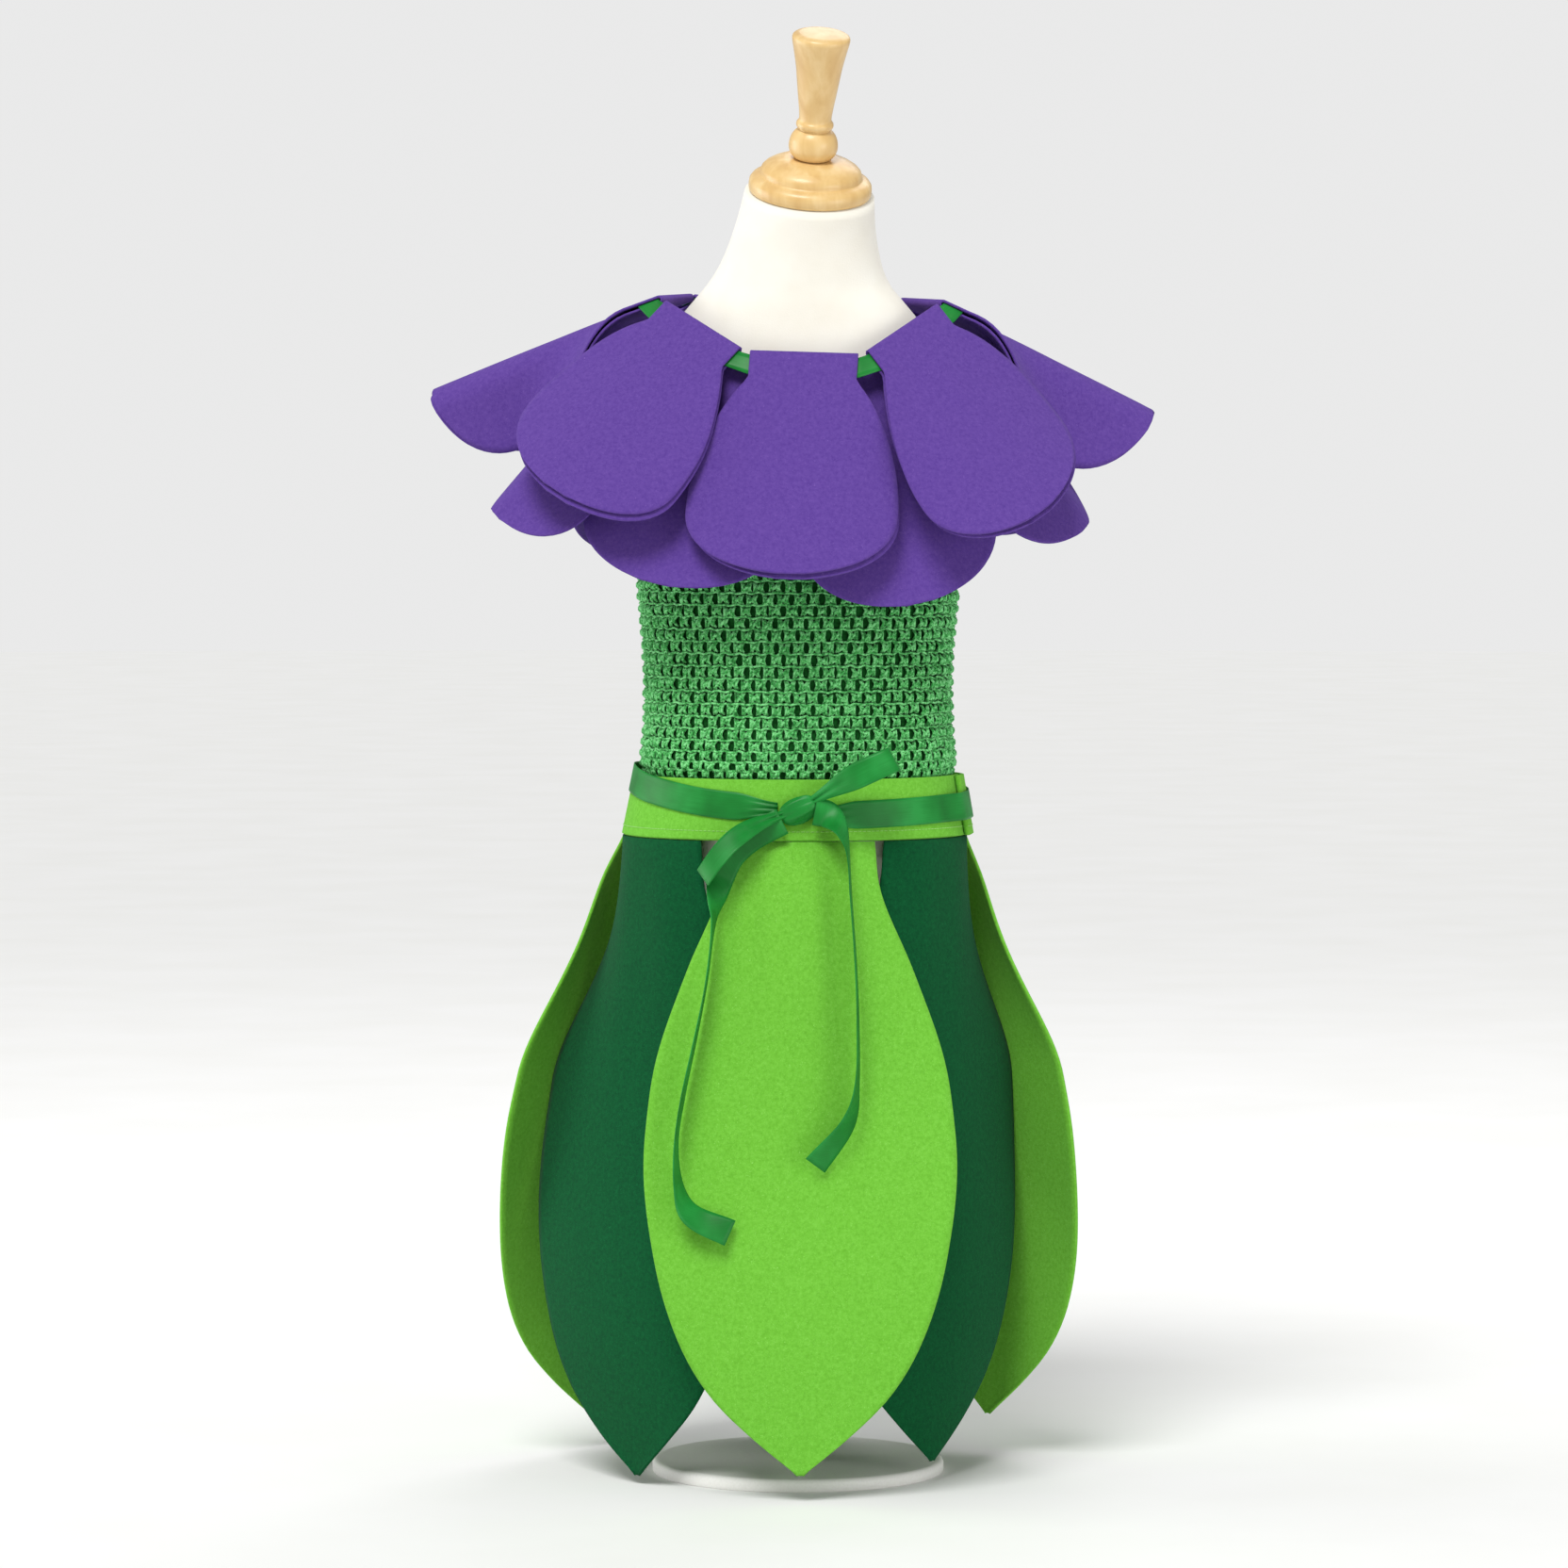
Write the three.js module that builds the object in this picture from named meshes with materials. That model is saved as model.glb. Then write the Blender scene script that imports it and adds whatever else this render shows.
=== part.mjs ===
// Child's flower costume on a limbless dress form, in millimetres, +Z up, front towards -Y.
// The origin is the middle of the base's flat underside.
import * as THREE from 'three';

// Driving dimensions
const FELT_COLLAR = 1.6;
const FELT_SKIRT = 2.0;
const FELT_BAND = 3.0;
const CROCHET_WALL = 3.2;
const RIBBON_THICK = 1.0;
const RIBBON_WIDTH = 16.5;
const SEAM_GAP = 0.3;

const BAND_BOTTOM_Z = 395;
const BAND_TOP_Z = 431;
const BAND_BOTTOM = { x: -2, halfWidth: 106.5, halfDepth: 82 };
const BAND_TOP = { x: -1.5, halfWidth: 99.7, halfDepth: 77 };

const LEAF_TOP_HALF = 46;
const COLLAR_TOP_HALF = 32.5;
const COLLAR_WIDE_HALF = 64;
const COLLAR_WIDE_AT = 0.7;
const COLLAR_TIP_HALF = 9;
const FOLD_GAP = 3.6;
const CURL_START = 0.12;

const NECK_TOP = { x: 7, y: -9, z: 787, tilt: 20, roll: 4 };
const BASE_RADIUS = 90;
const BASE_THICK = 8;
const POLE_RADIUS = 12.5;
const TORSO_BOTTOM_Z = 262;

const PURPLE = 0x5e3fa8;
const LIME = 0x6cc038;
const DARK_GREEN = 0x155c36;
const CROCHET_GREEN = 0x3c9650;
const SATIN_GREEN = 0x2a9440;
const FORM_WHITE = 0xfbf8ee;
const WOOD = 0xe6c68c;

const costume = new THREE.Group();
const RADIAN = Math.PI / 180;

function addPiece(name, geometry, color, roughness, parent = costume) {
  const material = new THREE.MeshStandardMaterial({ color, roughness, metalness: 0 });
  const mesh = new THREE.Mesh(geometry, material);
  mesh.name = name;
  parent.add(mesh);
  return mesh;
}

function blend(from, to, share) {
  return from + (to - from) * share;
}

function smoothStep(start, end, value) {
  const share = THREE.MathUtils.clamp((value - start) / (end - start), 0, 1);
  return share * share * (3 - 2 * share);
}

// A smooth value read from a short table: rows of { at, [column] } in rising order.
function readTable(rows, column, at) {
  let row = 0;
  while (row < rows.length - 2 && at > rows[row + 1].at) row += 1;
  const left = rows[row];
  const right = rows[row + 1];
  const before = rows[Math.max(row - 1, 0)];
  const after = rows[Math.min(row + 2, rows.length - 1)];
  const span = right.at - left.at;
  const share = THREE.MathUtils.clamp((at - left.at) / span, 0, 1);
  const slopeLeft = (right[column] - before[column]) / (right.at - before.at) * span;
  const slopeRight = (after[column] - left[column]) / (after.at - left.at) * span;
  const cube = share * share * share;
  const square = share * share;
  return (2 * cube - 3 * square + 1) * left[column] + (cube - 2 * square + share) * slopeLeft
    + (3 * square - 2 * cube) * right[column] + (cube - square) * slopeRight;
}

// A closed solid from points and triangles, turned to face outwards.
function closedSolid(positions, indices) {
  const geometry = new THREE.BufferGeometry();
  geometry.setAttribute('position', new THREE.Float32BufferAttribute(positions, 3));
  let volume = 0;
  const corner = (index) => new THREE.Vector3().fromArray(positions, index * 3);
  for (let i = 0; i < indices.length; i += 3) {
    volume += corner(indices[i]).dot(corner(indices[i + 1]).cross(corner(indices[i + 2])));
  }
  geometry.setIndex(volume > 0 ? indices : indices.slice().reverse());
  geometry.computeVertexNormals();
  return geometry;
}

// A cloth wall: middlePoint(across, along) gives its middle surface for shares 0..1.
// Each point is moved half the thickness to both sides, and the rim is closed.
// A looped wall joins its last column to its first, as a tube does.
function clothWall(middlePoint, columns, rows, thickness, looped = false) {
  const step = 1e-3;
  const sideCount = looped ? columns : columns + 1;
  const positions = [];
  for (const side of [1, -1]) {
    for (let row = 0; row <= rows.length - 1; row += 1) {
      for (let column = 0; column < sideCount; column += 1) {
        const across = column / columns;
        const along = rows[row];
        const acrossLow = looped ? across - step : Math.max(across - step, 0);
        const acrossHigh = looped ? across + step : Math.min(across + step, 1);
        const tangentAcross = middlePoint(acrossHigh, along).sub(middlePoint(acrossLow, along));
        const tangentAlong = middlePoint(across, Math.min(along + step, 1))
          .sub(middlePoint(across, Math.max(along - step, 0)));
        const normal = tangentAcross.cross(tangentAlong).normalize();
        const point = middlePoint(across, along).addScaledVector(normal, side * thickness / 2);
        positions.push(point.x, point.y, point.z);
      }
    }
  }
  const layer = rows.length * sideCount;
  const vertex = (side, row, column) => side * layer + row * sideCount + column % sideCount;
  const indices = [];
  const quad = (a, b, c, d) => indices.push(a, b, c, a, c, d);
  for (let row = 0; row < rows.length - 1; row += 1) {
    for (let column = 0; column < columns; column += 1) {
      quad(vertex(0, row, column), vertex(0, row, column + 1),
        vertex(0, row + 1, column + 1), vertex(0, row + 1, column));
      quad(vertex(1, row, column), vertex(1, row + 1, column),
        vertex(1, row + 1, column + 1), vertex(1, row, column + 1));
    }
  }
  const last = rows.length - 1;
  for (let column = 0; column < columns; column += 1) {
    quad(vertex(0, 0, column), vertex(1, 0, column), vertex(1, 0, column + 1), vertex(0, 0, column + 1));
    quad(vertex(0, last, column), vertex(0, last, column + 1),
      vertex(1, last, column + 1), vertex(1, last, column));
  }
  if (!looped) {
    for (let row = 0; row < last; row += 1) {
      quad(vertex(0, row, 0), vertex(0, row + 1, 0), vertex(1, row + 1, 0), vertex(1, row, 0));
      quad(vertex(0, row, columns), vertex(1, row, columns),
        vertex(1, row + 1, columns), vertex(0, row + 1, columns));
    }
  }
  return closedSolid(positions, indices);
}

function evenRows(count) {
  return Array.from({ length: count + 1 }, (unused, index) => index / count);
}

// Ellipse in plan: turn 0 is the front, 90 degrees the wearer's side at +X.
function ellipsePoint(shape, turn) {
  const middleY = shape.y ?? 0;
  return new THREE.Vector2(
    shape.x + shape.halfWidth * Math.sin(turn),
    middleY - shape.halfDepth * Math.cos(turn),
  );
}

function ellipseTurnAt(shape, arc) {
  const step = 0.002;
  let turn = 0;
  let walked = 0;
  while (walked < Math.abs(arc)) {
    walked += step * Math.hypot(shape.halfWidth * Math.cos(turn), shape.halfDepth * Math.sin(turn));
    turn += step;
  }
  return Math.sign(arc) * turn;
}

// Dress form: one smooth torso with its neck. Each row is an elliptical section.
const TORSO_SEGMENTS = 26;
const TORSO_SECTIONS = [
  { z: TORSO_BOTTOM_Z, x: 0, y: 0, halfWidth: 76, halfDepth: 58, tilt: 0, roll: 0 },
  { z: 265, x: 0, y: 0, halfWidth: 84, halfDepth: 65, tilt: 0, roll: 0 },
  { z: 282, x: 0, y: 0, halfWidth: 91, halfDepth: 71, tilt: 0, roll: 0 },
  { z: 322, x: 0, y: 0, halfWidth: 97, halfDepth: 76, tilt: 0, roll: 0 },
  { z: 362, x: 0, y: 0, halfWidth: 96, halfDepth: 74, tilt: 0, roll: 0 },
  { z: 398, x: 0, y: 0, halfWidth: 91.3, halfDepth: 69.4, tilt: 0, roll: 0 },
  { z: 436, x: 0, y: 0, halfWidth: 91, halfDepth: 68.8, tilt: 0, roll: 0 },
  { z: 478, x: 0, y: 0, halfWidth: 90.5, halfDepth: 67.5, tilt: 0, roll: 0 },
  { z: 515, x: 0, y: 0, halfWidth: 91.3, halfDepth: 69, tilt: 0, roll: 0 },
  { z: 547, x: 0, y: 0, halfWidth: 94.2, halfDepth: 71.5, tilt: 0, roll: 0 },
  { z: 596, x: 0, y: 0, halfWidth: 95.5, halfDepth: 73, tilt: 0, roll: 0 },
  { z: 632, x: 0, y: 2, halfWidth: 101, halfDepth: 67, tilt: 0, roll: 0 },
  { z: 656, x: 0, y: 4, halfWidth: 99, halfDepth: 58, tilt: 0, roll: 0 },
  { z: 672, x: 0, y: 5, halfWidth: 94, halfDepth: 51, tilt: 0, roll: 0 },
  { z: 686, x: 0, y: 5, halfWidth: 87, halfDepth: 46, tilt: 0, roll: 0 },
  { z: 699, x: 0, y: 5, halfWidth: 80, halfDepth: 43.5, tilt: 0, roll: 0 },
  { z: 711, x: 0, y: 5, halfWidth: 73, halfDepth: 41.8, tilt: 2, roll: 0 },
  { z: 722, x: 0, y: 4, halfWidth: 64, halfDepth: 40.8, tilt: 5, roll: 0 },
  { z: 733, x: 1, y: 3, halfWidth: 55, halfDepth: 40.4, tilt: 9, roll: 1 },
  { z: 746, x: 2.5, y: 0.5, halfWidth: 48.6, halfDepth: 40, tilt: 13, roll: 2 },
  { z: 766, x: 4.6, y: -3.5, halfWidth: 43, halfDepth: 39.5, tilt: 17, roll: 3 },
  { ...NECK_TOP, halfWidth: 39.6, halfDepth: 39 },
];

function formPlane(section) {
  const turn = new THREE.Euler(section.tilt * RADIAN, section.roll * RADIAN, 0);
  return new THREE.Matrix4().makeRotationFromEuler(turn).setPosition(section.x, section.y, section.z);
}

function torsoGeometry() {
  const positions = [];
  const indices = [];
  for (const section of TORSO_SECTIONS) {
    const place = formPlane(section);
    for (let index = 0; index < TORSO_SEGMENTS; index += 1) {
      const angle = index / TORSO_SEGMENTS * 2 * Math.PI;
      const point = new THREE.Vector3(
        section.halfWidth * Math.cos(angle),
        section.halfDepth * Math.sin(angle),
        0,
      ).applyMatrix4(place);
      positions.push(point.x, point.y, point.z);
    }
  }
  const ringStart = (ring) => ring * TORSO_SEGMENTS;
  for (let ring = 0; ring < TORSO_SECTIONS.length - 1; ring += 1) {
    for (let index = 0; index < TORSO_SEGMENTS; index += 1) {
      const next = (index + 1) % TORSO_SEGMENTS;
      const low = ringStart(ring);
      const high = ringStart(ring + 1);
      indices.push(low + index, low + next, high + next, low + index, high + next, high + index);
    }
  }
  const topStart = ringStart(TORSO_SECTIONS.length - 1);
  for (let index = 1; index < TORSO_SEGMENTS - 1; index += 1) {
    indices.push(0, index + 1, index);
    indices.push(topStart, topStart + index, topStart + index + 1);
  }
  return closedSolid(positions, indices);
}

addPiece('torso', torsoGeometry(), FORM_WHITE, 0.6);

// Turned pieces: a profile of radius and height along the axis, closed on the axis.
const TURNED_SEGMENTS = 24;

function turnedGeometry(profile) {
  const points = profile.map((row) => new THREE.Vector2(row.radius, row.height));
  return new THREE.LatheGeometry(points, TURNED_SEGMENTS).rotateX(Math.PI / 2);
}

const neckPlane = new THREE.Group();
neckPlane.applyMatrix4(formPlane(NECK_TOP));
costume.add(neckPlane);

const CAP_HEIGHT = 22;
const CAP_PROFILE = [
  { radius: 0, height: 0 },
  { radius: 35.5, height: 0 },
  { radius: 37.7, height: 2.4 },
  { radius: 37.7, height: 6.8 },
  { radius: 35.8, height: 9.6 },
  { radius: 32.4, height: 10.6 },
  { radius: 31.2, height: 11.6 },
  { radius: 31.2, height: 13.2 },
  { radius: 28.5, height: 17 },
  { radius: 22.5, height: 20.4 },
  { radius: 15.5, height: CAP_HEIGHT },
  { radius: 0, height: CAP_HEIGHT },
];
const FINIAL_PROFILE = [
  { radius: 0, height: 0 },
  { radius: 10.5, height: 0 },
  { radius: 13.6, height: 3.2 },
  { radius: 15, height: 8.2 },
  { radius: 14.2, height: 13.4 },
  { radius: 11.2, height: 17.4 },
  { radius: 9.6, height: 18.6 },
  { radius: 11.2, height: 20.4 },
  { radius: 11.2, height: 22.6 },
  { radius: 9.9, height: 24.6 },
  { radius: 11.4, height: 38 },
  { radius: 14.2, height: 58 },
  { radius: 17, height: 72 },
  { radius: 17.7, height: 75.4 },
  { radius: 16.9, height: 77.6 },
  { radius: 14.6, height: 78.8 },
  { radius: 0, height: 79.6 },
];
const neckCap = addPiece('neck_cap', turnedGeometry(CAP_PROFILE), WOOD, 0.4, neckPlane);
neckCap.position.z = SEAM_GAP;
const finial = addPiece('finial', turnedGeometry(FINIAL_PROFILE), WOOD, 0.4, neckPlane);
finial.position.z = CAP_HEIGHT + 2 * SEAM_GAP;

// Stand below the form, hidden by the skirt: a plain pole on a flat round base.
const BASE_PROFILE = [
  { radius: 0, height: 0 },
  { radius: BASE_RADIUS, height: 0 },
  { radius: BASE_RADIUS, height: BASE_THICK - 2.5 },
  { radius: BASE_RADIUS - 2.5, height: BASE_THICK },
  { radius: 0, height: BASE_THICK },
];
addPiece('stand_base', turnedGeometry(BASE_PROFILE), FORM_WHITE, 0.5);
const poleLength = TORSO_BOTTOM_Z - BASE_THICK - 2 * SEAM_GAP;
const poleGeometry = new THREE.CylinderGeometry(POLE_RADIUS, POLE_RADIUS, poleLength, 20).rotateX(Math.PI / 2);
const pole = addPiece('stand_pole', poleGeometry, FORM_WHITE, 0.5);
pole.position.z = BASE_THICK + SEAM_GAP + poleLength / 2;

// Bodice: a stretched crochet tube, open at the top and the bottom.
const BODICE_SECTIONS = [
  { at: 0, z: 398, halfWidth: 95, halfDepth: 73 },
  { at: 0.15, z: 431, halfWidth: 94.8, halfDepth: 72.6 },
  { at: 0.22, z: 441, halfWidth: 96.6, halfDepth: 74 },
  { at: 0.34, z: 463, halfWidth: 94.8, halfDepth: 72 },
  { at: 0.53, z: 502, halfWidth: 94.9, halfDepth: 72.6 },
  { at: 0.76, z: 548, halfWidth: 98.4, halfDepth: 75.6 },
  { at: 1, z: 596, halfWidth: 99.6, halfDepth: 77 },
];
const BODICE_ROWS = [0, 0.15, 0.22, 0.33, 0.53, 0.76, 1];

function bodicePoint(across, along) {
  const angle = across * 2 * Math.PI;
  const halfWidth = readTable(BODICE_SECTIONS, 'halfWidth', along) - CROCHET_WALL / 2;
  const halfDepth = readTable(BODICE_SECTIONS, 'halfDepth', along) - CROCHET_WALL / 2;
  return new THREE.Vector3(
    halfWidth * Math.cos(angle),
    halfDepth * Math.sin(angle),
    readTable(BODICE_SECTIONS, 'z', along),
  );
}

addPiece('bodice', clothWall(bodicePoint, 32, BODICE_ROWS, CROCHET_WALL, true), CROCHET_GREEN, 0.85);

// Skirt waistband: one felt strip right round, its free end lapped over its start at the right side.
const BAND_LAP_TURN = 90 * RADIAN;
const BAND_LAP = 14 * RADIAN;
const LAP_STEP = FELT_BAND + 2 * SEAM_GAP;
const LAP_RISE_START = 338 * RADIAN;
const LAP_RISE_END = 357 * RADIAN;

function bandShape(z, outward) {
  const share = (z - BAND_BOTTOM_Z) / (BAND_TOP_Z - BAND_BOTTOM_Z);
  return {
    x: blend(BAND_BOTTOM.x, BAND_TOP.x, share),
    halfWidth: blend(BAND_BOTTOM.halfWidth, BAND_TOP.halfWidth, share) + outward,
    halfDepth: blend(BAND_BOTTOM.halfDepth, BAND_TOP.halfDepth, share) + outward,
  };
}

function bandPoint(turn, z, outward) {
  const plan = ellipsePoint(bandShape(z, outward), turn);
  return new THREE.Vector3(plan.x, plan.y, z);
}

// The strip runs backwards round the body from the lap and rises over its own start near the end.
function waistbandPoint(across, along) {
  const walked = across * (2 * Math.PI + BAND_LAP);
  const turn = BAND_LAP_TURN - walked;
  const lapLift = LAP_STEP * smoothStep(LAP_RISE_START, LAP_RISE_END, walked);
  const z = blend(BAND_BOTTOM_Z, BAND_TOP_Z, along);
  return bandPoint(turn, z, lapLift - FELT_BAND / 2);
}

addPiece('waistband', clothWall(waistbandPoint, 84, [0, 1], FELT_BAND), LIME, 0.9);

// Skirt leaves: one outline, hung from the band's lower edge in two layers, lime over dark.
const LEAF_OUTLINE = [
  { at: 0, halfWidth: LEAF_TOP_HALF },
  { at: 0.08, halfWidth: 49.5 },
  { at: 0.2, halfWidth: 69 },
  { at: 0.33, halfWidth: 85.5 },
  { at: 0.45, halfWidth: 92.5 },
  { at: 0.53, halfWidth: 93.7 },
  { at: 0.62, halfWidth: 90 },
  { at: 0.72, halfWidth: 82 },
  { at: 0.81, halfWidth: 69 },
  { at: 0.88, halfWidth: 52 },
  { at: 0.94, halfWidth: 29 },
  { at: 1, halfWidth: 1.6 },
];
// How far a leaf stands off from the band line, as a share of its spread: limes outside, darks inside.
const LEAF_SPREAD = [
  { at: 0, outer: 0, inner: 0 },
  { at: 0.08, outer: 0.3, inner: 0.06 },
  { at: 0.2, outer: 0.45, inner: 0.1 },
  { at: 0.35, outer: 0.57, inner: 0.22 },
  { at: 0.5, outer: 0.75, inner: 0.55 },
  { at: 0.65, outer: 0.94, inner: 0.92 },
  { at: 0.8, outer: 1.04, inner: 1 },
  { at: 0.92, outer: 1.04, inner: 0.8 },
  { at: 1, outer: 1, inner: 0.6 },
];
const LEAF_ROWS = [0, 0.05, 0.1, 0.16, 0.24, 0.33, 0.42, 0.52, 0.61, 0.7, 0.78, 0.85, 0.91, 0.96, 1];
const LEAF_COLUMNS = 6;
// arc: along the band from the front; spread: widest stand-off; lean: sideways sway at the tip;
// turn: how much the leaf yaws, in degrees; bend: radius it bends to; drop: height from the band to the tip.
const LEAVES = [
  { name: 'leaf_front', layer: 'outer', arc: 3, spread: 47, lean: -1, turn: 0, bend: 700, drop: 377 },
  { name: 'leaf_dark_left', layer: 'inner', arc: -105, spread: 24, lean: 9, turn: 10, bend: 310, drop: 388 },
  { name: 'leaf_dark_right', layer: 'inner', arc: 101.5, spread: 8, lean: -15, turn: -3, bend: 255, drop: 379 },
  { name: 'leaf_lime_left', layer: 'outer', arc: -199.5, spread: 59, lean: 4, turn: 0, bend: 640, drop: 370 },
  { name: 'leaf_lime_right', layer: 'outer', arc: 199.5, spread: 44, lean: -8, turn: 0, bend: 640, drop: 369 },
  { name: 'leaf_dark_back', layer: 'inner', arc: 292.7, spread: 16, lean: 0, turn: 0, bend: 400, drop: 380 },
];
const leafTopZ = BAND_BOTTOM_Z - 2 * SEAM_GAP;
const leafTopShape = bandShape(BAND_BOTTOM_Z, -FELT_BAND / 2);

function leafPoint(leaf, across, along) {
  const sideways = (2 * across - 1) * readTable(LEAF_OUTLINE, 'halfWidth', along);
  const onBand = ellipsePoint(leafTopShape, ellipseTurnAt(leafTopShape, leaf.arc + sideways));
  const turn = ellipseTurnAt(leafTopShape, leaf.arc);
  const centre = ellipsePoint(leafTopShape, turn);
  const outward = new THREE.Vector2(
    Math.sin(turn) / leafTopShape.halfWidth,
    -Math.cos(turn) / leafTopShape.halfDepth,
  ).normalize().rotateAround(new THREE.Vector2(), leaf.turn * RADIAN);
  const tangent = new THREE.Vector2(-outward.y, outward.x);
  const hanging = centre.clone()
    .addScaledVector(tangent, sideways)
    .addScaledVector(outward, -sideways * sideways / (2 * leaf.bend));
  const flattened = smoothStep(0, 0.4, along);
  const spread = leaf.spread * readTable(LEAF_SPREAD, leaf.layer, along);
  const plan = onBand.lerp(hanging, flattened)
    .addScaledVector(outward, spread)
    .addScaledVector(tangent, leaf.lean * along);
  return new THREE.Vector3(plan.x, plan.y, leafTopZ - leaf.drop * along);
}

for (const leaf of LEAVES) {
  const wall = clothWall((across, along) => leafPoint(leaf, across, along), LEAF_COLUMNS, LEAF_ROWS, FELT_SKIRT);
  addPiece(leaf.name, wall, leaf.layer === 'outer' ? LIME : DARK_GREEN, 0.95);
}

// Collar: the neck ribbon's loop, and 7 upper and 7 lower felt petals that hang from it.
const LOOP = { x: 1, y: 4, halfWidth: 88.5, halfDepth: 66 };
const LOOP_HEIGHTS = [
  { at: -180, z: 718 },
  { at: -135, z: 724 },
  { at: -92, z: 726 },
  { at: -75, z: 722 },
  { at: -50, z: 706 },
  { at: -26, z: 690 },
  { at: 0, z: 687 },
  { at: 26, z: 687 },
  { at: 50, z: 702 },
  { at: 75, z: 718 },
  { at: 92, z: 722 },
  { at: 135, z: 722 },
  { at: 180, z: 718 },
];

function loopPoint(arc) {
  const turn = ellipseTurnAt(LOOP, arc);
  const plan = ellipsePoint(LOOP, turn);
  return new THREE.Vector3(plan.x, plan.y, readTable(LOOP_HEIGHTS, 'z', turn / RADIAN));
}

// A petal's frame: its top edge's middle, its top edge's direction, and the way it hangs.
function petalFrame(petal) {
  const start = loopPoint(petal.arc - COLLAR_TOP_HALF);
  const end = loopPoint(petal.arc + COLLAR_TOP_HALF);
  const sideways = end.clone().sub(start).normalize();
  const level = new THREE.Vector3(sideways.y, -sideways.x, 0).normalize();
  const upright = new THREE.Vector3().crossVectors(level, sideways).normalize();
  if (upright.z < 0) upright.negate();
  const slope = petal.slope * RADIAN;
  const straight = level.clone().multiplyScalar(Math.cos(slope)).addScaledVector(upright, -Math.sin(slope));
  const facing = level.clone().multiplyScalar(Math.sin(slope)).addScaledVector(upright, Math.cos(slope));
  const hanging = straight.clone().applyAxisAngle(facing, petal.swing * RADIAN);
  const middle = start.add(end).multiplyScalar(0.5)
    .addScaledVector(facing, -petal.inward)
    .addScaledVector(straight, petal.inward);
  return { middle, sideways, straight, hanging, facing };
}

function petalHalfWidth(along) {
  if (along < CURL_START) return COLLAR_TOP_HALF;
  if (along < COLLAR_WIDE_AT) {
    const opened = ((along - CURL_START) / (COLLAR_WIDE_AT - CURL_START)) ** 0.85;
    return COLLAR_TOP_HALF + (COLLAR_WIDE_HALF - COLLAR_TOP_HALF) * Math.sin(opened * Math.PI / 2);
  }
  const past = (along - COLLAR_WIDE_AT) / (1 - COLLAR_WIDE_AT);
  return Math.max(COLLAR_WIDE_HALF * Math.sqrt(1 - past * past), COLLAR_TIP_HALF);
}

// The felt droops along its length, and bends about its own middle line over the shoulder.
function petalPoint(frame, petal, across, along, offset) {
  const sideways = (2 * across - 1) * petalHalfWidth(along);
  const limit = petal.curl * RADIAN * smoothStep(CURL_START, 0.7, along);
  const angle = Math.min(Math.abs(sideways) / petal.ridge, limit);
  const straightPart = Math.abs(sideways) - petal.ridge * angle;
  const reach = petal.ridge * Math.sin(angle) + straightPart * Math.cos(angle);
  const fall = petal.ridge * (1 - Math.cos(angle)) + straightPart * Math.sin(angle);
  const side = Math.sign(sideways);
  return frame.middle.clone()
    .addScaledVector(frame.sideways, side * (reach + offset * Math.sin(angle)))
    .addScaledVector(frame.hanging, along * petal.length)
    .addScaledVector(frame.facing, offset * Math.cos(angle) - fall - petal.droop * along * along);
}

// arc: along the loop from the front; length: top edge to tip; slope: degrees below level;
// swing: turn of the hanging line in the petal's own plane, in degrees;
// droop: fall at the tip; curl: how far each side edge bends down, in degrees, round a ridge of that radius;
// inward: set back from the loop.
const UPPER_PETALS = [
  { name: 'petal_upper_front', arc: 2.5, length: 147, slope: 62.7, swing: -3, droop: 2, curl: 18.3, ridge: 200, inward: 0 },
  { name: 'petal_upper_front_left', arc: -68, length: 144, slope: 44, swing: 6, droop: 4, curl: 18, ridge: 200, inward: 0 },
  { name: 'petal_upper_front_right', arc: 73, length: 148, slope: 47, swing: -12, droop: 4, curl: 16, ridge: 220, inward: 0 },
  { name: 'petal_upper_left', arc: -137.4, length: 162, slope: 19.2, swing: 5, droop: 4, curl: 84, ridge: 16.5, inward: 0 },
  { name: 'petal_upper_right', arc: 142, length: 162, slope: 23, swing: -5, droop: 4, curl: 82, ridge: 15, inward: 0 },
  { name: 'petal_upper_back_left', arc: -207, length: 148, slope: 17, swing: 8, droop: 16, curl: 20, ridge: 150, inward: 0 },
  { name: 'petal_upper_back_right', arc: 211.5, length: 148, slope: 21, swing: -8, droop: 16, curl: 20, ridge: 150, inward: 0 },
];
const LOWER_PETALS = [
  { name: 'petal_lower_front_left', arc: -33, length: 154, slope: 65.1, swing: -2.7, droop: 0, curl: 16, ridge: 200, inward: 7.1 },
  { name: 'petal_lower_front_right', arc: 37, length: 155, slope: 70, swing: -3, droop: 0, curl: 26.2, ridge: 200, inward: 8.4 },
  { name: 'petal_lower_side_left', arc: -105.7, length: 158, slope: 41.5, swing: 13, droop: 3, curl: 20.5, ridge: 17.9, inward: 9.5 },
  { name: 'petal_lower_side_right', arc: 106.3, length: 154, slope: 51, swing: -3.2, droop: 3, curl: 16.7, ridge: 59.8, inward: 8.2 },
  { name: 'petal_lower_rear_left', arc: -172.2, length: 154, slope: 62.1, swing: 0, droop: 3, curl: 8.1, ridge: 64, inward: 15.1 },
  { name: 'petal_lower_rear_right', arc: 173.8, length: 154, slope: 53.6, swing: -2, droop: 3, curl: 24.3, ridge: 119.8, inward: 13.7 },
  { name: 'petal_lower_back', arc: 244, length: 154, slope: 55, swing: 0, droop: 0, curl: 14, ridge: 200, inward: 8 },
];
const PETAL_COLUMNS = 6;
const PETAL_ROWS = [0, CURL_START, 0.26, 0.42, 0.57, 0.7, 0.81, 0.9, 0.96, 1];
const FOLD_SHARE = 0.02;

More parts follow.
